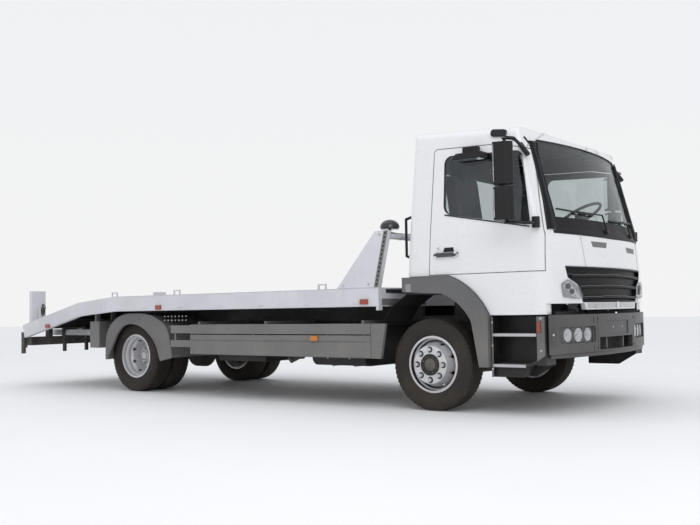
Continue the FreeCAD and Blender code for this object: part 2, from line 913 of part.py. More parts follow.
def leafPack(x, y, z, leaves, half, rise):
    packs = []
    for i in range(leaves):
        reach = half * (1 - leafShortenShare * i)
        top = z - i * leafThickness
        lift = rise * (reach / half) ** 2
        low = top - leafThickness
        ends = (V(x - reach, y, top + lift), V(x, y, top), V(x + reach, y, top + lift))
        lowEnds = (V(x - reach, y, low + lift), V(x, y, low), V(x + reach, y, low + lift))
        edges = [Part.Arc(*ends), Part.LineSegment(ends[2], lowEnds[2]),
                 Part.Arc(lowEnds[2], lowEnds[1], lowEnds[0]), Part.LineSegment(lowEnds[0], ends[0])]
        wire = Part.Wire([edge.toShape() for edge in edges])
        packs.append(Part.Face(wire).extrude(V(0, springWidth, 0)))
    return packs


def springHangers(x, y, eyeZ, half):
    pieces = []
    for side in (-1, 1):
        place = x + side * half
        eye = Part.makeCylinder(springEyeRadius, springWidth, V(place, y, eyeZ + springEyeRadius / 2), V(0, 1, 0))
        top = frameTop - frameDepth - seat
        hanger = slab([(place - springEyeRadius, eyeZ), (place + springEyeRadius, eyeZ),
                       (place + springEyeRadius * 1.6, top), (place - springEyeRadius * 1.6, top)],
                      "side", y + springWidth / 3, y + springWidth)
        pieces += [eye, hanger]
    return pieces


def leafSprings():
    y = springY - springWidth / 2
    railFoot = frameTop - frameDepth
    z = axleBeamZ + axleBeamHeight / 2 + leafThickness * frontLeaves + seat
    front = leafPack(0, y, z, frontLeaves, springHalfLength, springRise)
    front = fused(front + springHangers(0, y, z + springRise, springHalfLength))
    rearZ = tyreRadius + axleTubeRadius + leafThickness * rearLeaves + seat
    rear = leafPack(-wheelbase, y, rearZ, rearLeaves, springHalfLength, rearSpringRise)
    shoes = []
    for side in (-1, 1):
        place = -wheelbase + side * (springHalfLength - springEyeRadius)
        shoes.append(box(place - springEyeRadius, place + springEyeRadius, y, y + springWidth,
                         rearZ + rearSpringRise - leafThickness * 2, railFoot - seat))
    return bothSides([front, fused(rear + shoes)])


def rearAxle():
    x = -wheelbase
    end = rearOuterY - rearDiscFace + discThickness * 3
    tube = Part.makeCylinder(axleTubeRadius, 2 * rearDrumY, V(x, -rearDrumY, tyreRadius), V(0, 1, 0))
    stub = Part.makeCylinder(hubBore, 2 * end, V(x, -end, tyreRadius), V(0, 1, 0))
    banjo = Part.makeCylinder(diffRadius, diffHalfLength, V(x - diffHalfLength / 2, 0, tyreRadius), V(1, 0, 0))
    nose = Part.makeCone(diffRadius * 0.8, yokeRadius, diffRadius - diffHalfLength / 2,
                         V(x + diffHalfLength / 2, 0, tyreRadius), V(1, 0, 0))
    wide = rearDrumHalfWidth / 3
    section = [(0, 0), (rearDrumRadius, 0), (rearDrumRadius, wide), (0, wide)]
    drums = [turned(section, x, side * rearDrumY - wide / 2, tyreRadius) for side in (-1, 1)]
    return [fused([tube, stub, banjo, nose] + drums)]


def underDeckTanks():
    tank = slab([(tankInnerY, tankBottom), (tankOuterY, tankBottom), (tankOuterY, tankTop), (tankInnerY, tankTop)],
                "front", tankRearX, tankFrontX, tankCorner)
    battery = slab([(-tankOuterY, batteryBottom), (-tankInnerY, batteryBottom), (-tankInnerY, tankTop),
                    (-tankOuterY, tankTop)], "front", batteryRearX, batteryFrontX, tankCorner / 3)
    silencer = slab([(-tankOuterY, silencerBottom), (-tankInnerY, silencerBottom), (-tankInnerY, tankTop),
                     (-tankOuterY, tankTop)], "front", silencerRearX, silencerFrontX, tankCorner)
    airTank = rod(V(airTankRearX, airTankY, airTankZ), V(airTankFrontX, airTankY, airTankZ), airTankRadius)
    groups = ((tank, tankRearX + tankCorner * 2, tankFrontX - tankCorner * 2, 1, tankInnerY),
              (battery, batteryRearX + tankCorner, batteryFrontX - tankCorner, -1, tankInnerY),
              (silencer, silencerRearX + tankCorner, silencerFrontX - tankCorner, -1, tankInnerY),
              (airTank, airTankRearX + tankCorner, airTankFrontX - tankCorner, 1, airTankY))
    pieces = []
    z0 = frameTop - frameDepth + frameWall
    for body, rearX, frontX, side, far in groups:
        arms = [box(x - bracketThickness, x + bracketThickness, frameHalfWidth + seat, far + bracketThickness,
                    z0, z0 + bracketThickness * 8) for x in (rearX, frontX)]
        pieces.append(fused([body] + [arm if side > 0 else mirrored(arm) for arm in arms]))
    return pieces


# Platform outlines, shared by rails, floor and bearers: how far below the rail's top line
def deckLine(drop, frontX, rearX):
    slopeRear = (kinkRearTop - deckRearTop) / (kinkRearX - deckRearTopX)
    return [(frontX, deckTop - drop), (kinkFrontX, deckTop - drop), (kinkRearX, kinkRearTop - drop),
            (rearX, kinkRearTop - drop - slopeRear * (kinkRearX - rearX))]


def deckHeight(x, drop):
    if x > kinkFrontX:
        return deckTop - drop
    if x > kinkRearX:
        share = (kinkFrontX - x) / (kinkFrontX - kinkRearX)
        return deckTop - drop - share * (deckTop - kinkRearTop)
    share = (kinkRearX - x) / (kinkRearX - deckRearTopX)
    return kinkRearTop - drop - share * (kinkRearTop - deckRearTop)


def deckRails():
    outline = [(deckFrontX, deckTop), (kinkFrontX, deckTop), (kinkRearX, kinkRearTop), (deckRearTopX, deckRearTop),
               (deckRearBottomX, deckRearBottom), (kinkRearX, kinkRearBottom), (kinkFrontX, deckBottom),
               (deckFrontX, deckBottom)]
    rail = slab(outline, "side", deckHalfWidth - deckRailWidth, deckHalfWidth)
    front = box(deckFrontX - deckRailWidth, deckFrontX, -deckHalfWidth + deckRailWidth, deckHalfWidth - deckRailWidth,
                deckBottom, deckTop)
    bracket = box(deckFrontX - deckRailWidth / 2, deckFrontX, deckHalfWidth - deckRailWidth, deckHalfWidth,
                  deckBottom - cornerBracketDrop, deckBottom)
    tailX = deckRearTopX + deckRailWidth
    tail = slab([(deckRearTopX, deckRearTop), (tailX, deckHeight(tailX, 0)), (tailX, tailStripBottom),
                 (deckRearTopX + deckRailWidth / 4, tailStripBottom)],
                "side", -deckHalfWidth + deckRailWidth, deckHalfWidth - deckRailWidth)
    return [fused([rail, bracket, mirrored(rail), mirrored(bracket), front, tail])]


def deckFloor():
    frontX = deckFrontX - deckRailWidth - seat
    rearX = deckRearTopX + deckRailWidth + seat
    top = deckLine(floorDrop, frontX, rearX)
    bottom = deckLine(floorDrop + floorThickness, frontX, rearX)
    outline = top + bottom[::-1]
    edge = deckHalfWidth - deckRailWidth - seat
    lane = slab(outline, "side", floorLaneInnerY + floorGap / 2, edge)
    middle = slab(outline, "side", -floorLaneInnerY + floorGap / 2, floorLaneInnerY - floorGap / 2)
    return [lane, middle, mirrored(lane)]


# Where the cross bearers stand, and how high their tops are
def bearerPlaces():
    places = []
    under = floorDrop + floorThickness + seat
    x = deckFrontX - bearerPitch / 2
    while x > deckRearTopX + bearerPitch / 2:
        places.append((x, min(deckHeight(x - bearerWidth / 2, under), deckHeight(x + bearerWidth / 2, under))))
        x -= bearerPitch
    return places


# Cross bearers under the floor, the lengthwise subframe and the sloping tail beams, in one frame
def deckFrame():
    pieces = []
    edge = deckHalfWidth - deckRailWidth
    under = floorDrop + floorThickness + seat
    for x, z1 in bearerPlaces():
        z0 = z1 - bearerDepth
        x0 = x - bearerWidth / 2
        x1 = x + bearerWidth / 2
        web = x0 + bearerWall
        section = [(x0, z0), (x1, z0), (x1, z0 + bearerWall), (web, z0 + bearerWall), (web, z1 - bearerWall),
                   (x1, z1 - bearerWall), (x1, z1), (x0, z1)]
        pieces.append(slab(section, "side", -edge, edge))
    low = frameTop + seat
    beamTop = under + bearerDepth / 2
    top = deckLine(beamTop, deckFrontX - deckRailWidth, deckRearTopX + deckRailWidth)
    rearLow = deckHeight(deckRearTopX + deckRailWidth, beamTop + tailBeamDepth / 2)
    outline = top + [(deckRearTopX + deckRailWidth, rearLow),
                     (kinkRearX, min(low, deckHeight(kinkRearX, beamTop + tailBeamDepth))),
                     (deckFrontX - deckRailWidth, low)]
    beam = slab(outline, "side", beamOuterY() - 2 * subframeHalfWidth, beamOuterY())
    pieces += [beam, mirrored(beam)]
    return [fused(pieces)]


# The outer side of the lengthwise beams, which stand over the middle of the frame's flanges
def beamOuterY():
    return frameHalfWidth - frameFlange / 2 + subframeHalfWidth


# Guides that carry the stowed ramps, with their inner walls against the lengthwise beams
def rampGuides():
    pieces = []
    innerY = beamOuterY() + seat
    outerY = rampOuterY + seam + guideWall
    for x in guidePlaces:
        x0 = x - guideLength / 2
        x1 = x + guideLength / 2
        z1 = deckHeight(x1, floorDrop + floorThickness + bearerDepth / 2)
        z0 = rampBottom - seat - guideWall
        roofZ = rampBottom + rampHeight + seam
        inner = box(x0, x1, innerY, rampInnerY - seam, z0, z1)
        outer = box(x0, x1, rampOuterY + seam, outerY, z0, roofZ + guideWall)
        shelf = box(x0, x1, innerY, outerY, z0, z0 + guideWall)
        roof = box(x0, x1, innerY, outerY, roofZ, roofZ + guideWall)
        legs = [box(x0 + guideLength / 3, x1, y - guideWall, y + guideWall * 2, guideLegFoot, z0 + guideWall)
                for y in (rampInnerY - seam, rampOuterY + seam - guideWall)]
        pieces.append(fused([inner, outer, shelf, roof] + (legs if x == guidePlaces[0] else [])))
    return bothSides(pieces)


# A ladder ramp: two side rails, rungs between them and a hooked end
def ramp():
    x0 = rampRearX
    x1 = rampFrontX
    y0 = rampInnerY + rampRail
    y1 = rampOuterY - rampRail
    top = rampBottom + rampHeight
    rails = [box(x0, x1, y, y + rampRail, rampBottom, top) for y in (rampInnerY, y1)]
    rungs = []
    x = x0 + rampRungWidth
    while x < x1 - rampRungWidth:
        rungs.append(box(x - rampRungWidth / 2, x + rampRungWidth / 2, y0, y1, top - rampRungHeight, top))
        x += rampRungPitch
    hook = box(x1 - rampHookLength, x1, y0, y1, rampBottom, rampBottom + rampRungHeight)
    return fused(rails + rungs + [hook])


def headboard():
    outline = [(wingFootX, deckTop + seat), (wingTopRearX, wingTopZ), (wingTopFrontX, wingTopZ),
               (deckFrontX, deckTop + seat)]
    wing = slab(outline, "side", deckHalfWidth - wingThickness, deckHalfWidth)
    tube = Part.makeCylinder(crossTubeRadius, 2 * (deckHalfWidth - wingThickness),
                             V(crossTubeX, -deckHalfWidth + wingThickness, crossTubeZ), V(0, 1, 0))
    return [fused([wing, mirrored(wing), tube])]


def lashingRings():
    rings = []
    for x in ringPlaces:
        z0 = max(deckHeight(x - ringSize / 2, 0), deckHeight(x + ringSize / 2, 0))
        y0 = deckHalfWidth - deckRailWidth / 2 - ringBar / 2
        outer = box(x - ringSize / 2, x + ringSize / 2, y0, y0 + ringBar, z0 + seat, z0 + ringHeight)
        hole = box(x - ringSize / 2 + ringBar, x + ringSize / 2 - ringBar, y0 - overrun, y0 + ringBar + overrun,
                   z0 - overrun, z0 + ringHeight - ringBar)
        rings.append(outer.cut(hole))
    return bothSides(rings)


def rearPosts():
    foot = deckHeight(postX - postHalfX - postFootMargin, floorDrop)
    floor = deckHeight(postX + postHalfX + postFootMargin, floorDrop)
    post = box(postX - postHalfX, postX + postHalfX, postInnerY, postOuterY, floor, postTop)
    shoe = slab([(postX - postHalfX, deckHeight(postX - postHalfX, floorDrop) + seat),
                 (postX + postHalfX + postFootMargin, floor + seat),
                 (postX + postHalfX + postFootMargin, floor + postFootHeight),
                 (postX - postHalfX, floor + postFootHeight)],
                "side", postInnerY - postFootMargin / 2, postOuterY + postFootMargin / 4)
    latchFoot = V(postX + postHalfX + latchRadius, (postInnerY + postOuterY) / 2, floor + postFootHeight)
    latch = rod(latchFoot, latchFoot + V(0, 0, latchLength), latchRadius)
    whole = fused([post, shoe, latch])
    far = deckRearTopX - overrun
    y0 = postInnerY - postFootMargin
    y1 = postOuterY + postFootMargin
    foot = [(far, guideLegFoot), (kinkRearX, guideLegFoot)]
    below = slab(deckLine(floorDrop - seat, kinkRearX, far) + foot, "side", y0, y1)
    beam = slab(deckLine(-seat, kinkRearX, far) + foot, "side", y0, y1)
    beam = beam.common(box(far - overrun, deckRearTopX + deckRailWidth + seat, 0, deckHalfWidth, 0, postTop))
    return bothSides([whole.cut([below, beam])])


def underrunBar():
    half = deckHalfWidth - deckRailWidth - seam
    bar = box(underrunRearX - tailPlateWidth / 4, underrunFrontX, -half, half, underrunBottom, underrunTop)
    y0 = underrunHalfY - tailPlateThickness * 2
    plate = box(-rearReach, -rearReach + tailPlateWidth, y0, underrunHalfY, tailPlateBottom, tailPlateTop)
    foot = box(-rearReach, -rearReach + tailPlateWidth / 2, y0, underrunHalfY, tailFootBottom, tailPlateBottom)
    plates = [plate, foot, mirrored(plate), mirrored(foot)]
    arm = box(deckRearTopX + deckRailWidth / 3, underrunFrontX, underrunArmY, underrunArmY + bearerWidth,
              underrunTop - overrun, tailStripBottom - seat)
    return [fused([bar, arm, mirrored(arm)] + plates)]


def tailLamps():
    face = underrunRearX - tailPlateWidth / 4
    middle = (underrunTop + underrunBottom) / 2
    lamp = box(face - tailLampDepth, face - seat, tailLampY, tailLampY + tailLampWidth,
               middle - tailLampHeight / 2, middle + tailLampHeight / 2)
    return bothSides([lamp])


def markerLamps():
    def lamp(x, z, face, halfX, halfZ):
        return box(x - halfX, x + halfX, face + seat, face + markerProud, z - halfZ, z + halfZ)

    lamps = [lamp(x, z, deckHalfWidth, markerLength / 2, markerHeight / 2) for x, z in deckMarkers]
    lamps += [lamp(x, z, guardOuterY, markerLength / 2, markerHeight / 2) for x, z in guardMarkers]
    lamps.append(lamp(stepMarkerX, stepMarkerZ, stepOuterY, markerProud, markerLength / 2))
    return bothSides(lamps)


def sideGuards():
    y1 = guardOuterY
    y0 = guardOuterY - guardThickness
    groove = y1 - guardRibDepth
    splitTop = guardSplit + guardSplitGap / 2
    splitLow = guardSplit - guardSplitGap / 2
    edge = guardTop - guardRibHeight
    upper = slab([(y0, splitTop), (y1, splitTop), (y1, edge), (groove, guardTop), (y0, guardTop)],
                 "front", guardRearX, guardFrontX)
    lower = slab([(y0, guardBottom), (groove, guardBottom), (y1, guardBottom + guardRibHeight),
                  (y1, guardRibZ - guardRibHeight), (groove, guardRibZ), (y1, guardRibZ + guardRibHeight),
                  (y1, splitLow), (y0, splitLow)],
                 "front", guardRearX, guardFrontX)
    endX = guardFrontX + guardSplitGap / 2
    end = slab([(endX, guardBottom), (guardEndBottomX, guardBottom), (guardEndTopX, guardTop), (endX, guardTop)],
               "side", y0, y1)
    railTop = box(tailRailRearX, guardRearX, y0, groove, tailRailUpperBottom, edge)
    railLow = box(tailRailRearX, guardRearX, y0, groove, tailRailLowerBottom, tailRailLowerTop)
    back = []
    armY = y0 - guardArmThickness
    armTop = guardTop + guardArmHeight / 2
    for x in guardArmPlaces:
        x0 = x - guardArmThickness / 2
        x1 = x + guardArmThickness / 2
        upright = box(x0, x1, armY, y0, guardBottom + guardRibHeight, edge)
        arm = box(x0, x1, frameHalfWidth + seat, armY, guardTop, armTop)
        elbow = box(x0, x1, armY, y0, edge, armTop)
        back += [upright, arm, elbow]
    strap = box(guardFrontX - guardArmThickness, guardFrontX + guardArmThickness, y0 - guardRibDepth, y0,
                guardBottom, guardTop)
    tailX = tailRailRearX + guardArmThickness
    tailStrap = box(tailX, tailX + guardArmThickness, y0 - guardRibDepth, y0, tailRailLowerBottom, edge)
    return bothSides([fused([upper, lower, end, railTop, railLow, strap, tailStrap] + back)])


# Rear mudguards: an angular arch sheet over both tyres, with a broad lip at its outer edge
def rearMudguards():
    def at(share):
        return (share[0] * tyreRadius - wheelbase, share[1] * tyreRadius)

    rearX, innerRearX = [share * tyreRadius - wheelbase for share in mudguardRearShares]
    innerFrontX, frontX = [share * tyreRadius - wheelbase for share in mudguardFrontShares]
    outer = [(rearX, mudguardRearFoot)] + [at(s) for s in mudguardOuterShares] + [(frontX, mudguardFrontFoot)]
    inner = [(innerFrontX, mudguardRearFoot)] + [at(s) for s in mudguardInnerShares]
    inner.append((innerRearX, mudguardRearFoot))
    lipY = mudguardOuterY - mudguardLip
    band = slab(outer + inner, "side", lipY, mudguardOuterY)
    under = [(a + mudguardSheet if a < -wheelbase else a - mudguardSheet, b - mudguardSheet)
             for a, b in outer[1:-1]]
    outline = outer + [(frontX - mudguardSheet, mudguardFrontFoot)] + under[::-1]
    outline.append((rearX + mudguardSheet, mudguardRearFoot))
    sheet = slab(outline, "side", mudguardInnerY, lipY)
    axle = V(-wheelbase, 0, tyreRadius)
    clear = Part.makeCylinder(tyreRadius + 3 * seam, 2 * mudguardOuterY, axle, V(0, 1, 0))
    stays = []
    for x, z in [at(s) for s in mudguardStayShares]:
        stays.append(rod(V(x, frameHalfWidth + seat, z), V(x, lipY, z), mudguardStayRadius))
    return bothSides([fused([band, sheet.cut(clear)] + stays)])


def toolBoxes():
    shell = box(toolBoxRearX, toolBoxFrontX, toolBoxInnerY, toolBoxOuterY, toolBoxBottom, toolBoxTop)
    middle = (toolBoxRearX + toolBoxFrontX) / 2
    x, z1 = min(bearerPlaces(), key=lambda place: abs(place[0] - middle))
    straps = [box(x - bearerWidth / 4, x + bearerWidth / 4, y, y + bearerWidth, toolBoxTop, z1 - bearerDepth - seat)
              for y in (toolBoxInnerY, toolBoxOuterY - bearerWidth)]
    return bothSides([fused([shell] + straps)])


# Front wheel arches, their liners and the steps

def arcPoints(radius, low, high, count):
    points = []
    for i in range(count + 1):
        angle = math.radians(low + (high - low) * i / count)
        points.append((radius * math.cos(angle), archCentreZ + radius * math.sin(angle)))
    return points


def frontFenders():
    startOuter = math.degrees(math.asin((archTop - archCentreZ) / archOuterRadius))
    endOuter = math.degrees(math.acos(archLegFrontX / archOuterRadius))
    outer = arcPoints(archOuterRadius, startOuter, endOuter, 8)
    inner = arcPoints(archInnerRadius, archInnerFromDegrees, archInnerToDegrees, 7)
    outline = [(archRearX, archTop)] + outer + [(archLegFrontX, archLegFoot), (archLegRearX, archLegFoot)]
    outline += inner + [(archRearX, archRearBottom)]
    flare = slab(outline, "side", archInnerY, archOuterY)
    return bothSides([flare])


def archLiners():
    def at(share):
        return (share[0] * tyreRadius, share[1] * tyreRadius)

    front = [at(share) for share in linerFrontShares]
    outer = [(linerRearX, linerFoot), (linerRearTopX, linerRearBend), at(linerRearShares)]
    outer += [(share * tyreRadius, linerTop) for share in linerTopShares] + front + [(front[-1][0], linerFoot)]
    inner = []
    for a, b in outer:
        inner.append((a + math.copysign(linerSheet, -a), b - linerSheet if b > linerFoot else b))
    sheet = slab(outer + inner[::-1], "side", linerInnerY, archInnerY - seat)
    stays = []
    for x, z in [at(share) for share in linerStayShares]:
        stays.append(rod(V(x, frameHalfWidth + seat, z), V(x, archInnerY - stayRadius, z), stayRadius))
    return bothSides([fused([sheet] + stays)])


def stepWells():
    x0 = stepRearX
    x1 = stepFrontX
    y1 = stepOuterY
    y0 = stepOuterY - stepDepth
    back = slab([(x0, stepLowZ), (stepFootX, stepLowZ), (x1, stepBottom), (x1, stepTop), (x0, stepTop)],
                "side", y0 - stepWall, y0)
    rear = box(x0, x0 + stepWall, y0, y1, stepLowZ, stepTop)
    front = box(x1 - stepLeg, x1, y0, y1, stepBottom, stepTop)
    treadHigh = box(x0 + stepWall, x1 - stepLeg, y0, y1, stepMiddle - treadHeight, stepMiddle)
    treadLow = box(x0 + stepWall, stepFootX, y0, y1, stepBottom - treadHeight, stepBottom)
    under = stepBottom - treadHeight
    foot = slab([(x0 + stepWall, stepLowZ), (stepFootX - stepWall * 10, stepLowZ), (stepFootX, under),
                 (x0 + stepWall, under)], "side", y0, y1 - stepWall * 5)
    chamfer = slab([(stepFootX, under), (x1, stepBottom + treadHeight * 2), (x1, stepBottom + treadHeight * 3),
                    (stepFootX, stepBottom)], "side", y1 - stepWall * 5, y1)
    bracket = box(x1 - stepWall * 20, x1 - stepWall * 10, frameHalfWidth + seat, y0 - stepWall,
                  tiltZ - tiltEyeRadius, tiltZ)
    whole = fused([back, rear, front, treadHigh, treadLow, foot, chamfer, bracket])
    return bothSides([whole.common(stepRoom())])


# The bumper's plan carried up, so that the steps end in the same curve
def stepRoom():
    wire = bowWire(stepLowZ - overrun, stepRearX - overrun * 2, frontReach, bumperHalfWidth, bumperBow,
                   bumperCorner, cabRearCorner / 4)
    return Part.Face(wire).extrude(V(0, 0, stepTop - stepLowZ + 2 * overrun))


# Plan outline with a bowed front and rounded corners, for the cab and the bumper
def bowWire(z, rearX, frontX, halfWidth, bow, corner, rearCorner):
    bowCentre = frontX - bow
    cornerX = bowCentre + math.sqrt((bow - corner) ** 2 - (halfWidth - corner) ** 2)
    cornerY = halfWidth - corner
    away = math.atan2(cornerY, cornerX - bowCentre)
    bowEnd = (bowCentre + bow * math.cos(away), bow * math.sin(away))
    half = (away + math.pi / 2) / 2
    cornerMid = (cornerX + corner * math.cos(half), cornerY + corner * math.sin(half))
    sideFront = (cornerX, halfWidth)
    rearSide = (rearX + rearCorner, halfWidth)
    rearMid = (rearX + rearCorner * (1 - math.sqrt(0.5)), halfWidth - rearCorner * (1 - math.sqrt(0.5)))
    rearEnd = (rearX, halfWidth - rearCorner)

    def at(point, side):
        return V(point[0], side * point[1], z)

    edges = [Part.Arc(at(bowEnd, -1), V(frontX, 0, z), at(bowEnd, 1)),
             Part.Arc(at(bowEnd, 1), at(cornerMid, 1), at(sideFront, 1)),
             Part.LineSegment(at(sideFront, 1), at(rearSide, 1)),
             Part.Arc(at(rearSide, 1), at(rearMid, 1), at(rearEnd, 1)),
             Part.LineSegment(at(rearEnd, 1), at(rearEnd, -1)),
             Part.Arc(at(rearEnd, -1), at(rearMid, -1), at(rearSide, -1)),
             Part.LineSegment(at(rearSide, -1), at(sideFront, -1)),
             Part.Arc(at(sideFront, -1), at(cornerMid, -1), at(bowEnd, -1))]
    return Part.Wire([edge.toShape() for edge in edges])


# The cab's whole outer form, or the same form drawn in by an inset all round
def cabHull(inset, low=cabSillZ, high=cabTopZ + overrun):
    def level(z, rearX, frontX, halfWidth, corner=cabCorner):
        return bowWire(z, rearX + inset, frontX - inset, halfWidth - inset, cabBow - inset,
                       corner - inset, cabRearCorner - min(inset, cabRearCorner * 0.7))

    lean = cabRearLean / (cabTopZ - cabSideFootZ)
    rise = (cabGlassTopFrontX - cabGlassBottomFrontX) / (cabGlassTopZ - cabGlassBottomZ)
    narrow = (cabGlassTopHalfWidth - cabGlassBottomHalfWidth) / (cabGlassTopZ - cabGlassBottomZ)
    wires = [level(low, cabRearX, cabFootFrontX, cabFootHalfWidth),
             level(cabWaistZ, cabRearX, cabWaistFrontX, cabWaistHalfWidth),
             level(cabGlassBottomZ, cabRearX + lean * (cabGlassBottomZ - cabSideFootZ), cabGlassBottomFrontX,
                   cabGlassBottomHalfWidth, (cabCorner + cabTopCorner) / 2),
             level(high, cabRearX + lean * (high - cabSideFootZ), cabGlassTopFrontX + rise * (high - cabGlassTopZ),
                   cabGlassTopHalfWidth + narrow * (high - cabGlassTopZ), cabTopCorner)]
    block = Part.makeLoft(wires, True, True)
    return block.common(roofSide(inset, low - overrun).common(roofAcross(inset, low - overrun)))


# Roof line seen from the side: a slope down to the windscreen and a bevel at the rear edge
def roofSide(inset, low):
    rear = cabRearX - overrun
    far = cabFootFrontX + overrun
    face = [V(rear, 0, low), V(far, 0, low), V(far, 0, cabGlassBottomZ)]
    slope = [V(cabGlassTopFrontX + cabRoofEdge / 3, 0, cabGlassTopZ + cabRoofEdge / 3 - inset),
             V(roofFrontX, 0, roofFrontZ - inset), V(roofBreakX, 0, roofBreakZ - inset),
             V(roofRiseX, 0, roofRiseZ - inset)]
    bevel = [V(roofBevelX, 0, roofBevelTopZ - inset), V(rear, 0, roofBevelFootZ - inset)]
    curve = Part.BSplineCurve()
    curve.interpolate(slope)
    edges = [Part.LineSegment(face[0], face[1]), Part.LineSegment(face[1], face[2]),
             Part.LineSegment(face[2], slope[0]), curve, Part.LineSegment(slope[-1], bevel[0]),
             Part.LineSegment(bevel[0], bevel[1]), Part.LineSegment(bevel[1], face[0])]
    wide = cabWaistHalfWidth + overrun * 2
    profile = Part.Face(Part.Wire([edge.toShape() for edge in edges]))
    profile.translate(V(0, -wide, 0))
    return profile.extrude(V(0, 2 * wide, 0))


# Roof line seen from the front: a low crown with rounded edges, falling towards the front
def roofAcross(inset, low):
    wide = cabWaistHalfWidth + overrun
    edge = cabGlassTopHalfWidth - inset - cabRoofEdge * 0.09
    radius = cabRoofEdge
    fall = (roofShoulderRearZ - roofShoulderFrontZ) / (roofShoulderFrontX - cabRearX)
    start = cabRearX - overrun * 2
    length = cabFootFrontX - start + overrun * 2
    shoulder = roofShoulderRearZ - inset + fall * overrun * 2
    arcStart = V(0, edge + radius * 0.02, shoulder - radius)
    arcMid = V(0, edge - radius * (1 - math.sqrt(0.5)), shoulder - radius * (1 - math.sqrt(0.5)))
    arcEnd = V(0, edge - radius, shoulder)
    crown = V(0, 0, shoulder + cabRoofCrown)

    def flip(point):
        return V(point.x, -point.y, point.z)

    lowRight = V(0, wide, low)
    highRight = V(0, wide, shoulder - radius * 1.6)
    edges = [Part.LineSegment(flip(lowRight), lowRight), Part.LineSegment(lowRight, highRight),
             Part.LineSegment(highRight, arcStart), Part.Arc(arcStart, arcMid, arcEnd),
             Part.Arc(arcEnd, crown, flip(arcEnd)), Part.Arc(flip(arcEnd), flip(arcMid), flip(arcStart)),
             Part.LineSegment(flip(arcStart), flip(highRight)), Part.LineSegment(flip(highRight), flip(lowRight))]
    profile = Part.Face(Part.Wire([e.toShape() for e in edges]))
    profile.translate(V(start, 0, 0))
    return profile.extrude(V(length, 0, -fall * length))


def doorOutline(grow):
    return [(doorRearTopX - grow, doorTopZ + grow), (doorTopFrontX + grow * 0.2, doorTopFrontZ + grow * 1.1),
            (doorFrontTopX + grow, doorFrontTopZ + grow), (doorFrontWaistX + grow, doorFrontWaistZ),
            (doorFrontFootX + grow, doorFootZ - grow), (doorRearFootX - grow, doorFootZ - grow)]


def windowOutline():
    return [(windowRearX, windowTopZ), (windowFrontTopX, windowFrontTopZ), (windowFrontFootX, windowFrontFootZ),
            (windowRearX, windowRearFootZ)]


def doorCut(grow, low, high):
    radii = [doorCorner + grow, doorCorner, doorCorner, 0, 0, 0]
    return slab(doorOutline(grow), "side", low, high, radii)


# Everything under the cab's lower edge, to be cut away
def cabUnderside():
    clear = archTop + seam + seat
    radius = archOuterRadius + seam
    outer = arcPoints(radius, math.degrees(math.asin((clear - archCentreZ) / radius)),
                      math.degrees(math.asin((cabSillZ - archCentreZ) / radius)), 8)
    far = cabFootFrontX + overrun * 3
    near = cabRearX - overrun
    low = cabSillZ - overrun * 3
    outline = [(near, clear)] + outer
    outline += [(stepFrontX, cabSillZ), (stepFrontX, cabFrontFootZ), (far, cabFrontFootZ), (far, low), (near, low)]
    side = slab(outline, "side", -cabWaistHalfWidth - overrun, cabWaistHalfWidth + overrun)
    wide = cabNoseHalfY + overrun
    high = cabFrontFootZ + overrun
    nose = slab([(-cabNoseHalfY, cabNoseFootZ), (cabNoseHalfY, cabNoseFootZ), (wide, high), (-wide, high)],
                "front", stepFrontX + overrun, far + overrun)
    return side.cut(nose)


def grilleOutline(grow):
    half = [(grilleTopHalfY + grow, grilleTopZ + grow), (grilleShoulderHalfY + grow, grilleShoulderZ),
            (grilleWaistHalfY + grow, grilleWaistZ), (grilleFootHalfY + grow, grilleFootZ - grow)]
    return half + [(-y, z) for y, z in reversed(half)]


def screenOutline():
    return [(-screenTopHalfY, screenTopZ), (screenTopHalfY, screenTopZ), (screenBottomHalfY, screenBottomZ),
            (-screenBottomHalfY, screenBottomZ)]


def rearWindowOutline():
    return [(-rearWindowHalfY, rearWindowTop), (rearWindowHalfY, rearWindowTop), (rearWindowHalfY, rearWindowBottom),
            (-rearWindowHalfY, rearWindowBottom)]


# The windscreen's opening, kept clear of the doors by the width of a pillar
def screenRoom(outline, corner, grow):
    room = slab(outline, "front", cabGlassTopFrontX - cabCorner * 2, cabFootFrontX + overrun, corner)
    deep = cabGlassTopHalfWidth - cabWall - overrun * 3
    reach = cabWaistHalfWidth + overrun
    for low, high in ((deep, reach), (-reach, -deep)):
        room = room.cut(slab(doorOutline(pillarWidth + grow), "side", low, high))
    return room


def cabShell(outer, inner):
    shell = outer.cut(inner).cut(cabUnderside())
    frontCut = stepFrontX - overrun * 3
    far = cabFootFrontX + overrun
    rearFar = cabRearX + cabRearLean + cabWall + overrun
    cuts = [screenRoom(screenOutline(), screenCorner, 0),
            slab(rearWindowOutline(), "front", cabRearX - overrun, rearFar, screenCorner),
            slab(grilleOutline(grilleEdge), "front", frontCut, far)]
    reach = cabWaistHalfWidth + overrun
    deep = cabGlassTopHalfWidth - cabWall - overrun * 3
    cuts += [doorCut(seam, deep, reach), doorCut(seam, -reach, -deep)]
    return [shell.cut(cuts), tiltBracket()]


# A point of the tilt arm's foot, from axes that stand upright once the cab is open
def tiltFootPoint(x, z):
    turn = math.radians(cabTilt)
    return (tiltX + x * math.cos(turn) - z * math.sin(turn), tiltZ + x * math.sin(turn) + z * math.cos(turn))


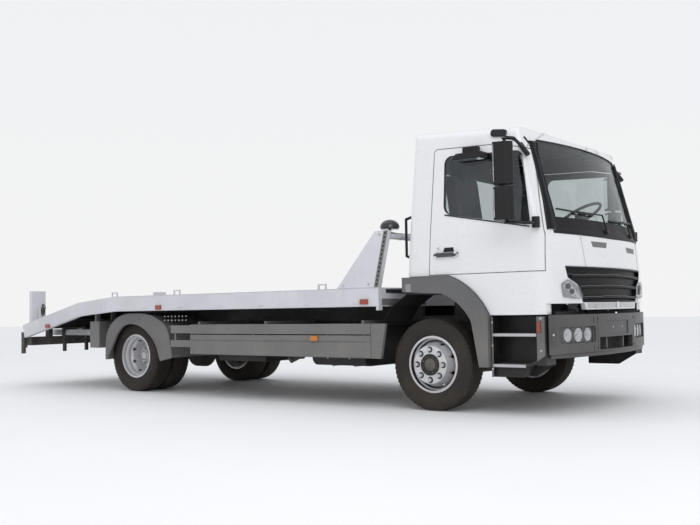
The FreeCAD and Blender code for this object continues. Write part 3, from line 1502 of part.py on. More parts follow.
# Two bent arms from the tilt pins round the bumper's edge to a cross beam under the cab
def tiltBracket():
    top = cabFrontFootZ + tiltEyeRadius
    frontLow = tiltFootPoint(tiltFootFront, 0)
    frontHigh = tiltFootPoint(tiltFootFront, tiltFootFrontReach)
    rearLow = tiltFootPoint(-tiltFootRear, 0)
    rearHigh = tiltFootPoint(-tiltFootRear, tiltFootRearReach)
    outline = [rearLow, frontLow, frontHigh, (frontHigh[0], top), (rearHigh[0], top), rearHigh]
    wide = tiltArmOuterY - tiltArmInnerY
    pieces = []
    for side in (-1, 1):
        y0 = min(side * tiltArmInnerY, side * tiltArmOuterY)
        eye = Part.makeCylinder(tiltEyeRadius, wide, V(tiltX, y0, tiltZ), V(0, 1, 0))
        bore = Part.makeCylinder(tiltPinRadius + pinFit, wide + 2 * overrun, V(tiltX, y0 - overrun, tiltZ), V(0, 1, 0))
        pieces.append(eye.fuse(slab(outline, "side", y0, y0 + wide)).cut(bore))
        pieces.append(sideBox(side, tiltArmTopX, tiltArmTopX + tiltEyeRadius, tiltArmInnerY, tiltArmOuterY,
                              cabFrontFootZ, floorTopZ - floorPlate - seat))
    pieces.append(box(tiltArmTopX, tiltArmTopX + tiltEyeRadius * 2, -tiltArmOuterY, tiltArmOuterY, cabFrontFootZ, top))
    return fused(pieces)


# Room that the inner front corner of each door sweeps as the door opens
def hingeRoom(radius):
    low = floorTopZ - floorPlate - overrun
    high = dashTop + cabWall
    return [Part.makeCylinder(radius, high - low, V(hingeX, side * hingeY, low)) for side in (-1, 1)]


def cabFloor(room):
    plate = room.common(box(cabRearX, cabFootFrontX, -cabWaistHalfWidth, cabWaistHalfWidth,
                            floorTopZ - floorPlate, floorTopZ)).cut(hingeRoom(hingeRoomRadius))
    opening = box(tunnelRearX + tunnelWall, tunnelFrontX - tunnelWall, -tunnelHalfWidth + tunnelWall,
                  tunnelHalfWidth - tunnelWall, floorTopZ - floorPlate - overrun, tunnelTop - tunnelWall)
    tunnel = box(tunnelRearX, tunnelFrontX, -tunnelHalfWidth, tunnelHalfWidth, floorTopZ - floorPlate, tunnelTop)
    return [fused([plate, tunnel]).cut(opening)]


def cabGlass(outerSkin, innerSkin):
    pane = outerSkin.cut(innerSkin)
    screen = pane.common(screenRoom(inwards(screenOutline()), screenCorner - seat, seat))
    rear = pane.common(slab(inwards(rearWindowOutline()), "front", cabRearX - overrun,
                            cabRearX + cabRearLean + cabWall + overrun, screenCorner - seat))
    return [screen, rear]


# An outline drawn in by the seat clearance on all sides
def inwards(points):
    middleA = sum(a for a, b in points) / len(points)
    middleB = sum(b for a, b in points) / len(points)
    return [(a - math.copysign(seat, a - middleA), b - math.copysign(seat, b - middleB)) for a, b in points]


def door(outer, skin, inner):
    reach = cabWaistHalfWidth + overrun
    deep = cabGlassTopHalfWidth - cabWall - overrun * 3
    sheet = outer.cut(skin).common(doorCut(0, deep, reach))
    lining = skin.cut(inner).common(doorCut(-doorStep, deep, reach))
    whole = fused([sheet, lining]).cut(slab(windowOutline(), "side", deep, reach, windowCorners))
    y = cabWaistHalfWidth + handleProud
    grip = rectangle(handleX - handleLength / 2, handleX + handleLength / 2,
                     handleZ - handleHeight / 2, handleZ + handleHeight / 2)
    handle = slab(grip, "side", y - handleProud - cabSkin / 2, y, handleHeight * handleCornerShare)
    return [fused([whole, handle])]


def doorGlass(outerSkin, innerSkin):
    reach = cabWaistHalfWidth + overrun
    deep = cabGlassTopHalfWidth - cabWall - overrun * 3
    pane = slab(inwards(windowOutline()), "side", deep, reach, [corner - seat for corner in windowCorners])
    return [outerSkin.cut(innerSkin).common(pane)]


# A mirror pair on one door: tall glass above, wide glass below, on two arms
# It can be turned back by an angle, and reaches as far out as the mirror that is not turned
def mirror(fold, around):
    pivot = V(mirrorPivotX, mirrorPivotY, 0)
    upright = V(0, 0, 1)
    out = V(0, 0, 0)

    def swung(shape):
        shape.rotate(pivot, upright, fold)
        shape.translate(out)
        return shape

    def place(x, y, z):
        return pivot + FreeCAD.Rotation(upright, fold).multVec(V(x, y, z) - pivot) + out

    armX = mirrorRearX + mirrorDepth / 2
    armY = (mirrorInnerY + mirrorOuterY) / 2
    noseX = mirrorRearX + mirrorDepth * mirrorNoseShare
    half = mirrorCorner / 2
    plan = [(mirrorRearX, mirrorInnerY), (mirrorRearX, mirrorOuterY), (noseX, mirrorOuterY - half),
            (mirrorRearX + mirrorDepth, armY), (noseX, mirrorInnerY + half)]
    corners = [half / 2, half / 2, half, half, half]
    head = slab(plan, "top", mirrorSplitTop, mirrorTop, corners)
    out = V(0, head.BoundBox.YMax - swung(head.copy()).BoundBox.YMax, 0)
    pieces = [swung(head),
              swung(slab(plan, "top", mirrorBottom, mirrorSplitBottom, corners)),
              swung(box(armX - half, armX, mirrorInnerY + mirrorCorner, mirrorOuterY - mirrorCorner,
                        mirrorSplitBottom - seam, mirrorSplitTop + seam))]
    kneeY = armY - mirrorDepth / 2
    bend = mirrorArmRadius * 1.6
    footLow = V(mirrorFootX, cabWaistHalfWidth - cabWall / 2, mirrorFootLow)
    footHigh = V(mirrorFootHighX, cabGlassTopHalfWidth - cabWall / 4, mirrorFootHigh)
    top = mirrorTop + mirrorCorner
    pieces.append(bentRod([footLow, place(mirrorFootX, kneeY, mirrorFootLow - mirrorArmRadius),
                           place(armX, armY, mirrorFootLow), place(armX, armY, mirrorBottom + mirrorCorner)],
                          mirrorArmRadius, bend))
    pieces.append(bentRod([footHigh, place(mirrorFootHighX, kneeY, top), place(armX, armY, top),
                           place(armX, armY, mirrorTop - mirrorCorner)], mirrorArmRadius, bend))
    pad = V(mirrorFootX, cabWaistHalfWidth, mirrorFootLow)
    pieces.append(rod(pad - V(0, 0, mirrorPadHalf), pad + V(0, 0, mirrorPadHalf), mirrorPadRadius))
    run = V(mirrorHighPadRun, 0, -mirrorHighPadRise)
    pad = V(mirrorFootHighX, cabGlassTopHalfWidth + mirrorHighPadRadius / 2, mirrorFootHigh)
    pieces.append(rod(pad - run, pad + run, mirrorHighPadRadius))
    return fused(pieces).cut(around)


# A short wide mirror on the top of one door, which shows the ground beside the truck
def kerbMirror(around):
    x0 = kerbMirrorX - kerbMirrorHalf
    x1 = kerbMirrorX + kerbMirrorHalf
    z0 = kerbMirrorZ - kerbMirrorHeight / 2
    z1 = kerbMirrorZ + kerbMirrorHeight / 2
    body = slab([(x0, z0), (x1, z0), (x1, z1), (x0 + kerbMirrorSlant, z1)],
                "side", cabGlassTopHalfWidth, kerbMirrorOuterY, kerbMirrorCorner)
    neck = slab(rectangle(kerbMirrorX - kerbNeckHalf, kerbMirrorX + kerbNeckHalf, kerbMirrorZ, kerbNeckTop),
                "side", cabGlassTopHalfWidth - cabSkin, kerbNeckOuterY, kerbMirrorCorner)
    return fused([body, neck]).cut(around)


def bumper():
    def ring(inset, z0, z1):
        wire = bowWire(z0, bumperRearX - 2 * bumperCorner - overrun, frontReach - inset, bumperHalfWidth - inset,
                       bumperBow - inset, bumperCorner - inset, cabRearCorner / 2)
        return Part.Face(wire).extrude(V(0, 0, z1 - z0))

    shell = ring(0, bumperBottom + bumperLip, bumperTop).fuse(ring(bumperLip / 2, bumperBottom, bumperBottom + bumperLip))
    shell = shell.cut(ring(bumperWall, bumperBottom - overrun, bumperTop + overrun))
    shell = shell.cut(box(bumperRearX - 3 * bumperCorner, bumperRearX, -frontReach, frontReach, bumperBottom - overrun,
                          bumperTop + overrun))
    return shell, ring


def bumperPieces():
    shell, ring = bumper()
    near = bumperRearX - overrun
    far = frontReach + overrun
    pockets = []
    lens = ring(bumperEdge, bumperBottom, bumperTop)
    lens = lens.cut(ring(bumperWall - seat, bumperBottom - overrun, bumperTop + overrun))
    for side in (-1, 1):
        outline = rectangle(side * lampInnerY, side * lampOuterY, lampBottom, lampTop)
        pockets.append(slab(outline, "front", near, far, lampCorner))
    low = bumperBottom - overrun
    high = bumperTop + overrun
    core = ring(plateSink, low, high)
    grown = slab(rectangle(-intakeHalfY, intakeHalfY, intakeBottom, intakeTop), "front", near, far, lampCorner / 2)
    sink = box(near, far, -plateHalfY, plateHalfY, plateBottom, plateTop).cut(core)
    half = bumperSplitWidth / 2
    splits = [sideBox(side, near, far, bumperSplitY - half, bumperSplitY + half, low, high).cut(core)
              for side in (-1, 1)]
    body = shell.cut(pockets + [grown, sink] + splits)
    inner = ring(bumperWall, bumperBottom, bumperTop)
    brackets = []
    for side in (-1, 1):
        block = sideBox(side, tiltX + tiltEyeRadius + seat, far, frameHalfWidth - frameWall,
                        frameHalfWidth + bearerWidth, tiltZ - tiltEyeRadius, tiltZ + tiltEyeRadius)
        brackets.append(block.common(inner))
    body = fused([body] + brackets)
    lamps = []
    for side in (-1, 1):
        outline = rectangle(side * (lampInnerY + seat), side * (lampOuterY - seat), lampBottom + seat, lampTop - seat)
        lamps.append(lens.common(slab(outline, "front", near, far, lampCorner)))
    return [body], lamps


def grille(outer, back):
    far = cabFootFrontX + overrun * 2
    near = stepFrontX - overrun * 3
    room = slab(grilleOutline(grilleEdge - seat), "front", near, far)
    sheet = back.cut(cabHull(grilleDepth + grilleBack, grilleFootZ - overrun * 3)).common(room)
    layer = outer.common(room).cut(back)
    frame = layer.cut(slab(grilleOutline(0), "front", near, far))
    within = layer.common(slab(grilleOutline(grilleEdge / 2), "front", near, far))
    rearX = cabFootFrontX - grilleDepth * 2.4
    slats = []
    for z in grilleSlatPlaces:
        bar = slab([(rearX, z - grilleSlatHeight / 2), (far, z - grilleSlatHeight * 0.1),
                    (far, z + grilleSlatHeight * 0.3), (rearX, z - grilleSlatHeight * 0.1)],
                   "side", -grilleTopHalfY, grilleTopHalfY)
        slats.append(bar.common(within))
    return [fused([sheet, frame] + slats)]


# A drop-shaped lamp whose inner edge runs along the grille
def cornerLampOutline(side):
    half = [(grilleShoulderHalfY + grilleEdge + seam, grilleShoulderZ - grilleEdge), (cornerLampOuterY, cornerLampTopZ),
            (cornerLampOuterY - cornerLampProud, cornerLampMiddleZ), (cornerLampLowY, grilleFootZ + grilleEdge),
            (cornerLampFootY, grilleFootZ + grilleEdge), (grilleWaistHalfY + grilleEdge + seam, grilleWaistZ - grilleEdge)]
    return [(side * y, z) for y, z in half]


def cabLamps(layer):
    lamps = []
    for side in (-1, 1):
        outline = cornerLampOutline(side)
        room = slab(outline, "front", stepFrontX - overrun, cabFootFrontX + overrun * 2, grilleEdge)
        lamps.append(layer.common(room))
    return lamps


# A flat lamp on each side of the roof
def cabTrim(layer):
    x0 = roofLampX - roofLampLength / 2
    x1 = roofLampX + roofLampLength / 2
    half = roofLampHeight / 2
    outline = [(x0, roofLampZ + roofLampSlant - half), (x1, roofLampZ - roofLampSlant - half),
               (x1, roofLampZ - roofLampSlant + half), (x0, roofLampZ + roofLampSlant + half)]
    lamp = slab(outline, "side", cabGlassTopHalfWidth - cabRoofEdge, cabWaistHalfWidth, half * 0.7)
    return bothSides([lamp.common(layer)])


# The cab's rear face at a height above the waist
def cabRearAt(z):
    return cabRearX + cabRearLean * (z - cabSideFootZ) / (cabTopZ - cabSideFootZ)


def grabRail():
    points = [V(cabRearAt(railFootTopZ), -railY, railFootTopZ), V(railX, -railY, railTopZ),
              V(railX, -railY, railBottomZ), V(cabRearAt(railFootBottomZ) + railRadius, -railY, railFootBottomZ)]
    pieces = [rod(a, b, railRadius) for a, b in zip(points, points[1:])]
    pieces += [Part.makeSphere(railRadius, point) for point in points[1:-1]]
    far = cabRearAt(cabTopZ) + overrun
    wall = slab([(cabRearX - seat, cabWaistZ), (cabRearAt(cabGlassBottomZ) - seat, cabGlassBottomZ),
                 (cabRearAt(cabTopZ) - seat, cabTopZ), (far, cabTopZ), (far, cabWaistZ)],
                "side", -railY - overrun, -railY + overrun)
    return fused(pieces).cut(wall)


def seatPieces():
    soft = []
    bases = []
    for y in (-seatY, seatY):
        z0 = seatBottom
        cushion = slab(rectangle(seatRearX, seatFrontX, z0, z0 + seatThickness),
                       "side", y - seatHalfWidth, y + seatHalfWidth, seatThickness / 3)
        backLow = z0 + seatThickness + seat
        backFrame = slab([(seatRearX, backLow), (seatRearX + seatBackThickness, backLow),
                          (seatRearX + seatBackThickness - seatBackLean, seatBackTop), (seatRearX - seatBackLean, seatBackTop)],
                         "side", y - seatHalfWidth * 0.96, y + seatHalfWidth * 0.96, seatThickness / 4)
        headLow = seatBackTop + seat
        headTop = headLow + headrestHeight
        headX = seatRearX - seatBackLean + headrestLean
        headFront = headX + headrestThickness
        head = slab([(headX, headLow), (headFront, headLow), (headFront - headrestLean, headTop),
                     (headX - headrestLean, headTop)],
                    "side", y - headrestHalfWidth, y + headrestHalfWidth, headrestThickness / 4)
        soft += [cushion, backFrame, head]
        bases.append(slab([(seatRearX + overrun, floorTopZ + seat), (seatFrontX - overrun * 2, floorTopZ + seat),
                           (seatFrontX - overrun, z0 - seat), (seatRearX + overrun, z0 - seat)],
                          "side", y - pedestalHalfWidth, y + pedestalHalfWidth))
    return soft, bases


def dashboard(room):
    front = cabFootFrontX
    top = slab([(dashRearX, dashBottom), (dashRearX + dashTop - dashLipZ, dashBottom - cabWall),
                (front, dashBottom - cabWall), (front, cabGlassBottomZ - cabWall),
                (dashRearX + cabCorner, dashTop - cabWall), (dashRearX, dashLipZ)],
               "side", -cabWaistHalfWidth, cabWaistHalfWidth)
    desk = room.common(top).cut(doorSideClearance() + hingeRoom(hingeRoomDashRadius))
    axis = V(-math.cos(math.radians(90 - steerWheelTilt)), 0, math.sin(math.radians(90 - steerWheelTilt)))
    centre = V(steerWheelX, wheelY, steerWheelZ)
    ring = Part.makeTorus(steerWheelRadius, steerWheelBar, centre, axis)
    hub = Part.makeCylinder(steerHubRadius, steerWheelBar * 2, centre - axis * steerWheelBar, axis)
    foot = centre - axis * (steerWheelZ - dashBottom) * 0.9
    column = rod(foot, centre, columnRadius)
    across = V(0, 1, 0)
    forward = axis.cross(across)
    spokes = []
    for angle in (0, 90, 180):
        direction = across * math.cos(math.radians(angle)) + forward * math.sin(math.radians(angle))
        spokes.append(rod(centre, centre + direction * steerWheelRadius, steerWheelBar * 0.7))
    return [fused([desk, column, hub, ring] + spokes)]


# Room kept beside the dashboard for the door linings
def doorSideClearance():
    reach = cabWaistHalfWidth + overrun
    inner = cabGlassBottomHalfWidth - cabWall - seam * 3
    return [sideBox(side, cabRearX, doorFrontFootX + seam, inner, reach, dashBottom - cabWall * 2, dashTop + cabWall)
            for side in (-1, 1)]


def workLamp():
    place = V(workLampX, -workLampY, workLampZ)
    cap = []
    for (wide, z), (nextWide, nextZ) in zip(workLampDomeShares, workLampDomeShares[1:]):
        cap.append(Part.makeCone(workLampRadius * wide, workLampRadius * nextWide, workLampHeight * (nextZ - z),
                                 place + V(0, 0, workLampHeight * z)))
    base = Part.makeCylinder(workLampRadius * workLampNeckShare, workLampFoot, place - V(0, 0, workLampFoot / 2))
    stem = rod(V(workLampX, -workLampY, crossTubeZ + crossTubeRadius * 0.8), place, workLampFoot / 2)
    tube = Part.makeCylinder(crossTubeRadius + seat, 2 * deckHalfWidth, V(crossTubeX, -deckHalfWidth, crossTubeZ),
                             V(0, 1, 0))
    return [fused(cap + [base, stem]).cut(tube)]


def winchFrame():
    z0 = deckTop - floorDrop + seat
    x0 = winchX - winchPlateLength / 2
    x1 = winchX + winchPlateLength / 2
    outer = winchHalfWidth + winchPlate
    base = box(x0, x1, -outer, outer, z0, z0 + winchBaseThickness)
    cheeks = [sideBox(side, x0, x1, winchHalfWidth, outer, z0, z0 + winchPlateHeight) for side in (-1, 1)]
    hole = winchAxleRadius + pinFit
    bore = Part.makeCylinder(hole, 2 * outer + 2 * overrun, V(winchX, -outer - overrun, winchDrumZ), V(0, 1, 0))
    motor = ringAt(winchX, outer, winchDrumZ, winchMotorRadius, hole, winchMotorLength)
    end = Part.makeCylinder(winchMotorRadius, winchPlate, V(winchX, outer + winchMotorLength, winchDrumZ), V(0, 1, 0))
    return [fused([base] + [cheek.cut(bore) for cheek in cheeks] + [motor, end])]


def winchDrum():
    outer = winchHalfWidth + winchPlate
    axle = Part.makeCylinder(winchAxleRadius, 2 * outer, V(winchX, -outer, winchDrumZ), V(0, 1, 0))
    inner = winchHalfWidth - seam
    face = inner - winchFlange
    drum = turned([(0, -inner), (winchFlangeRadius, -inner), (winchFlangeRadius, -face), (ropeRadius, -face),
                   (ropeRadius, face), (winchFlangeRadius, face), (winchFlangeRadius, inner), (0, inner)],
                  winchX, 0, winchDrumZ)
    return [fused([axle, drum])]


def moved(shapes, dx):
    copies = []
    for shape in shapes:
        copy = shape.copy()
        copy.translate(V(dx, 0, 0))
        copies.append(copy)
    return copies


def save(name, solids, middle):
    whole = Part.makeCompound(moved(solids, -middle))
    whole.exportStep("parts/" + name + ".step")
    count = len(whole.Solids)
    print(name, count, "solids", "valid" if whole.isValid() else "NOT VALID", round(whole.Volume / 1e6, 1))


# The place of the whole part's middle, measured from the front axle
def middleX():
    return (frontReach - rearReach) / 2


def allPieces():
    pieces = {}
    pieces["ladder_frame"] = [fused(bothSides([frameRail()]) + frameCrossmembers())]
    pieces["driveline"] = driveline()
    pieces["front_axle"] = frontAxle()
    pieces["leaf_springs"] = leafSprings()
    pieces["rear_axle"] = rearAxle()
    pieces["under_deck_tanks"] = underDeckTanks()
    pieces["tool_boxes"] = toolBoxes()
    pieces["side_guards"] = sideGuards()
    pieces["rear_mudguards"] = rearMudguards()
    pieces["front_fenders"] = frontFenders()
    pieces["arch_liners"] = archLiners()
    pieces["step_wells"] = stepWells()
    pieces["bumper"], pieces["headlamps"] = bumperPieces()
    pieces["deck_rails"] = deckRails()
    pieces["deck_floor"] = deckFloor()
    pieces["deck_frame"] = deckFrame()
    pieces["ramp_guides"] = rampGuides()
    pieces["headboard"] = headboard()
    pieces["lashing_rings"] = lashingRings()
    pieces["rear_posts"] = rearPosts()
    pieces["underrun_bar"] = underrunBar()
    pieces["tail_lamps"] = tailLamps()
    pieces["marker_lamps"] = markerLamps()
    pieces["work_lamp"] = workLamp()
    pieces["winch_frame"] = winchFrame()
    pieces["winch_drum"] = winchDrum()
    pieces["ramp_left"] = [ramp()]
    pieces["ramp_right"] = [mirrored(ramp())]
    pieces["knuckle_left"] = [knuckle()]
    pieces["knuckle_right"] = [mirrored(knuckle())]
    pieces["track_rod"] = trackRod()
    tyres, rims = frontWheel()
    pieces["tyre_front_left"] = tyres
    pieces["rim_front_left"] = rims
    pieces["tyre_front_right"] = [mirrored(s) for s in tyres]
    pieces["rim_front_right"] = [mirrored(s) for s in rims]
    tyres, rims = rearWheel()
    tyres = moved(tyres, -wheelbase)
    rims = moved(rims, -wheelbase)
    pieces["tyres_rear_left"] = tyres
    pieces["rims_rear_left"] = rims
    pieces["tyres_rear_right"] = [mirrored(s) for s in tyres]
    pieces["rims_rear_right"] = [mirrored(s) for s in rims]
    outer = cabHull(0)
    skin = cabHull(cabSkin)
    inner = cabHull(cabWall, cabSillZ - overrun)
    room = cabHull(cabWall + seat, cabSillZ - overrun)
    paneOuter = cabHull(glassSink)
    paneInner = cabHull(glassSink + glassThickness)
    pieces["cab_shell"] = cabShell(outer, inner)
    pieces["cab_floor"] = cabFloor(room)
    pieces["cab_glass"] = cabGlass(paneOuter, paneInner)
    pieces["door_left"] = door(outer, skin, inner)
    pieces["door_right"] = [mirrored(s) for s in pieces["door_left"]]
    pieces["door_glass_left"] = doorGlass(paneOuter, paneInner)
    pieces["door_glass_right"] = [mirrored(s) for s in pieces["door_glass_left"]]
    around = cabHull(-seat)
    pieces["mirror_left"] = [mirror(mirrorFold, around)]
    pieces["mirror_right"] = [mirrored(mirror(0, around)), mirrored(kerbMirror(around))]
    pieces["grille"] = grille(outer, cabHull(grilleDepth))
    layer = cabHull(-cornerLampProud).cut(around)
    pieces["cab_lamps"] = cabLamps(layer)
    pieces["cab_trim"] = cabTrim(layer)
    pieces["grab_rail"] = [grabRail()]
    pieces["seat_cushions"], pieces["seat_bases"] = seatPieces()
    pieces["dashboard"] = dashboard(room)
    return pieces


def main():
    os.makedirs("parts", exist_ok=True)
    middle = middleX()
    for name, solids in allPieces().items():
        save(name, solids, middle)


if __name__ == "__main__":
    main()
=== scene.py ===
import math

import bmesh
import bpy
from mathutils import Matrix, Vector
from mathutils.bvhtree import BVHTree


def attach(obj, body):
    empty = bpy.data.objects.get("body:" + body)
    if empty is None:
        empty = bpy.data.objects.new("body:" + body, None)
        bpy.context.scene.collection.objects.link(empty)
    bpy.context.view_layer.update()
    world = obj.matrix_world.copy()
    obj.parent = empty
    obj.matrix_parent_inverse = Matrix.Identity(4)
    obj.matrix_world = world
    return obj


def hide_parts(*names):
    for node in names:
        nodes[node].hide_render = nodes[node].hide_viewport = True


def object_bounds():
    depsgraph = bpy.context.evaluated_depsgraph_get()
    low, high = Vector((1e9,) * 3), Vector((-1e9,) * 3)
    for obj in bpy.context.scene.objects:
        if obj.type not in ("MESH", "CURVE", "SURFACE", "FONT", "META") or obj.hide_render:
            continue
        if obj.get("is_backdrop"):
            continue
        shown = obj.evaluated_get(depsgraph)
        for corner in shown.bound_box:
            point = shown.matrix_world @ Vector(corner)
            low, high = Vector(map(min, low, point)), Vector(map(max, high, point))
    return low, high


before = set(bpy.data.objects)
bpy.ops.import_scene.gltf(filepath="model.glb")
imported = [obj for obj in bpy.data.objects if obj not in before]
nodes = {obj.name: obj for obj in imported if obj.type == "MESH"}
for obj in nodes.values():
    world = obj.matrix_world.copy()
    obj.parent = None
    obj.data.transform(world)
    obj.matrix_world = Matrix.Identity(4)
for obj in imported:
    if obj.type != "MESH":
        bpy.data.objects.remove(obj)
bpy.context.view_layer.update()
axleX = 2.55  # the front axle stands this far ahead of the middle
wheelBase = 4.22  # metres, as every length here
frontTracks, rearTracks = (1.0,), (0.985, 0.706)  # wheel middles, from the truck's middle plane
sides = ((-1, "right"), (1, "left"))
farAhead, farAside, farBehind = 2.2, 2.0, -0.8  # where rays start from
print("stage: frame loaded")


# A place given from the front axle: ahead, to the left, up
def spot(x, y, z):
    return Vector((x + axleX, y, z))


# Mesh building: many simple solids gathered in one mesh

class Shape:
    def __init__(self):
        self.points = []
        self.faces = []

    def add(self, points, faces):
        start = len(self.points)
        self.points += [Vector(p) for p in points]
        self.faces += [[start + i for i in face] for face in faces]
        return self

    def box(self, first, second, turn=None):
        xs, ys, zs = (sorted(pair) for pair in zip(first, second))
        corners = [Vector((x, y, z)) for x in xs for y in ys for z in zs]
        if turn is not None:
            pivot = (Vector(first) + Vector(second)) / 2
            corners = [pivot + turn @ (c - pivot) for c in corners]
        return self.add(corners, [(0, 1, 3, 2), (4, 6, 7, 5), (0, 4, 5, 1), (2, 3, 7, 6), (0, 2, 6, 4), (1, 5, 7, 3)])

    # a side view, pushed across the truck from one y to the other
    def prism(self, outline, first, second):
        count = len(outline)
        points = [Vector((x, y, z)) for y in sorted((first, second)) for x, z in outline]
        faces = [list(range(count))[::-1], list(range(count, 2 * count))]
        faces += [(i, (i + 1) % count, count + (i + 1) % count, count + i) for i in range(count)]
        return self.add(points, faces)

    def rod(self, start, end, radius, sides=14):
        return self.tube([start, end], radius, sides)

    def tube(self, path, radius, sides=10):
        path = [Vector(p) for p in path]
        count = len(path)
        points = []
        side = None
        for i, point in enumerate(path):
            along = (path[min(i + 1, count - 1)] - path[max(i - 1, 0)]).normalized()
            if side is None:
                side = along.orthogonal().normalized()
            side = (side - along * side.dot(along)).normalized()
            up = along.cross(side)
            angles = [2 * math.pi * k / sides for k in range(sides)]
            points += [point + (side * math.cos(angle) + up * math.sin(angle)) * radius for angle in angles]
        faces = [list(range(sides))[::-1], list(range((count - 1) * sides, count * sides))]
        for i in range(count - 1):
            a, b = i * sides, (i + 1) * sides
            faces += [(a + k, a + (k + 1) % sides, b + (k + 1) % sides, b + k) for k in range(sides)]
        return self.add(points, faces)

    # profile of (radius, distance along axis) turned about an axis through centre
    def lathe(self, profile, centre, axis, steps=32, closed=False, reach=None):
        centre = Vector(centre)
        axis = Vector(axis).normalized()
        side = axis.orthogonal().normalized()
        up = axis.cross(side)
        rows = len(profile)
        points = []
        for k in range(steps):
            angle = 2 * math.pi * k / steps
            out = side * math.cos(angle) + up * math.sin(angle)
            for j, (radius, along) in enumerate(profile):
                points.append(centre + out * (radius if reach is None else reach(j, k, radius)) + axis * along)
        faces = []
        for k in range(steps):
            a = k * rows
            b = ((k + 1) % steps) * rows
            for j in range(rows if closed else rows - 1):
                n = (j + 1) % rows
                faces.append((a + j, b + j, b + n, a + n))
        return self.add(points, faces)

    def hexagon(self, centre, axis, across, high):
        centre = Vector(centre)
        axis = Vector(axis).normalized()
        side = axis.orthogonal().normalized()
        up = axis.cross(side)
        ring = [side * math.cos(math.pi * k / 3) + up * math.sin(math.pi * k / 3) for k in range(6)]
        radius = across / math.sqrt(3)
        levels = [(radius, 0), (radius, high * 0.85), (radius * 0.86, high)]
        points = [centre + r * size + axis * level for size, level in levels for r in ring]
        edges = [(i * 6, k, (k + 1) % 6) for i in range(2) for k in range(6)]
        faces = [(row + a, row + b, row + 6 + b, row + 6 + a) for row, a, b in edges]
        return self.add(points, faces + [list(range(12, 18)), list(range(6))[::-1]])

    def build(self, name, body, material, slot=None, smooth=35, bevel=0.0, replaces=()):
        mesh = bpy.data.meshes.new(name)
        mesh.from_pydata([tuple(p) for p in self.points], [], self.faces)
        mesh.validate()
        tidy = bmesh.new()
        tidy.from_mesh(mesh)
        bmesh.ops.recalc_face_normals(tidy, faces=tidy.faces)
        tidy.to_mesh(mesh)
        tidy.free()
        mesh.shade_smooth()
        mesh.set_sharp_from_angle(angle=math.radians(smooth))
        obj = bpy.data.objects.new(name, mesh)
        bpy.context.scene.collection.objects.link(obj)
        if bevel:
            edge = obj.modifiers.new("edges", "BEVEL")
            edge.width = bevel
            edge.segments = 2
            edge.limit_method = "ANGLE"
            edge.angle_limit = math.radians(40)
            edge.harden_normals = True
        mesh.materials.append(material)
        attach(obj, body)
        if replaces:
            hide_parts(*replaces)
        return obj


# Finding the outside of the CAD solids, so that seals and trim lie on them

def skinOf(*names):
    points = []
    faces = []
    for name in names:
        mesh = nodes[name].data
        start = len(points)
        points += [v.co.copy() for v in mesh.vertices]
        faces += [[start + i for i in p.vertices] for p in mesh.polygons]
    return BVHTree.FromPolygons(points, faces)


# Where a ray first meets a skin, and the surface's direction there, turned towards the ray's start
def onSkin(skin, start, direction):
    place, normal, index, distance = skin.ray_cast(start, Vector(direction))
    if normal is not None and normal.dot(Vector(direction)) > 0:
        normal = -normal
    return place, normal


def ahead(skin, y, z):
    return onSkin(skin, spot(farAhead, y, z), (-1, 0, 0))


def beside(skin, side, x, z):
    return onSkin(skin, spot(x, side * farAside, z), (0, -side, 0))


# A closed outline with rounded corners, its points no further apart than a length
def rounded(corners, radius, length, steps=6):
    points = []
    count = len(corners)
    sizes = radius if isinstance(radius, list) else [radius] * count
    for i, size in enumerate(sizes):
        corner = Vector(corners[i])
        before = (Vector(corners[i - 1]) - corner).normalized()
        after = (Vector(corners[(i + 1) % count]) - corner).normalized()
        half = before.angle(after) / 2
        middle = corner + (before + after).normalized() * (size / math.sin(half))
        first = corner + before * size / math.tan(half) - middle
        last = corner + after * size / math.tan(half) - middle
        points += [middle + first.slerp(last, k / steps, first) for k in range(steps + 1)]
    dense = []
    for a, b in zip(points, points[1:] + points[:1]):
        parts = max(1, int((b - a).length / length))
        dense += [a + (b - a) * k / parts for k in range(parts)]
    return dense


def offset(points, distance):
    moved = []
    for before, point, after in zip(points[-1:] + points[:-1], points, points[1:] + points[:1]):
        along = (after - before).normalized()
        moved.append(point + Vector((-along.y, along.x)) * distance)
    return moved


# A raised band that follows an outline cast on a skin
def band(shape, skin, outline, cast, inner, outer, lift, depth=0.004):
    rows = []
    for distance in (inner, outer):
        hits = [onSkin(skin, cast[0](point), cast[1]) for point in offset(outline, distance)]
        rows.append([(p + n * lift, p - n * depth) if p is not None else None for p, n in hits])
    count = len(outline)
    for i in range(count):
        n = (i + 1) % count
        ring = [rows[0][i], rows[1][i], rows[1][n], rows[0][n]]
        if None in ring:
            continue
        (a, aLow), (b, bLow), (c, cLow), (d, dLow) = ring
        shape.add([a, b, c, d, aLow, bLow, cLow, dLow], [(0, 1, 2, 3), (1, 5, 6, 2), (4, 0, 3, 7), (5, 4, 7, 6)])
    return shape


# How an outline is cast on a skin: where each ray starts, and its direction
fromFront = (lambda p: spot(farAhead, p[0], p[1]), (-1, 0, 0))
fromRear = (lambda p: spot(farBehind, p[0], p[1]), (1, 0, 0))
fromSide = {-1: (lambda p: spot(p[0], -farAside, p[1]), (0, 1, 0)), 1: (lambda p: spot(p[0], farAside, p[1]), (0, -1, 0))}


# Shader pieces

def step(tree, kind, settings=None, sockets=None):
    made = tree.nodes.new(kind)
    for key, value in (settings or {}).items():
        setattr(made, key, value)
    for key, value in (sockets or {}).items():
        target = made.inputs[key]
        if isinstance(value, bpy.types.NodeSocket):
            tree.links.new(value, target)
        else:
            target.default_value = value
    return made


def maths(tree, operation, a, b=0.0, clamp=False):
    return step(tree, "ShaderNodeMath", {"operation": operation, "use_clamp": clamp}, {0: a, 1: b}).outputs[0]


def times(tree, a, b, clamp=False):
    return maths(tree, "MULTIPLY", a, b, clamp)


def plus(tree, a, b):
    return maths(tree, "ADD", a, b)


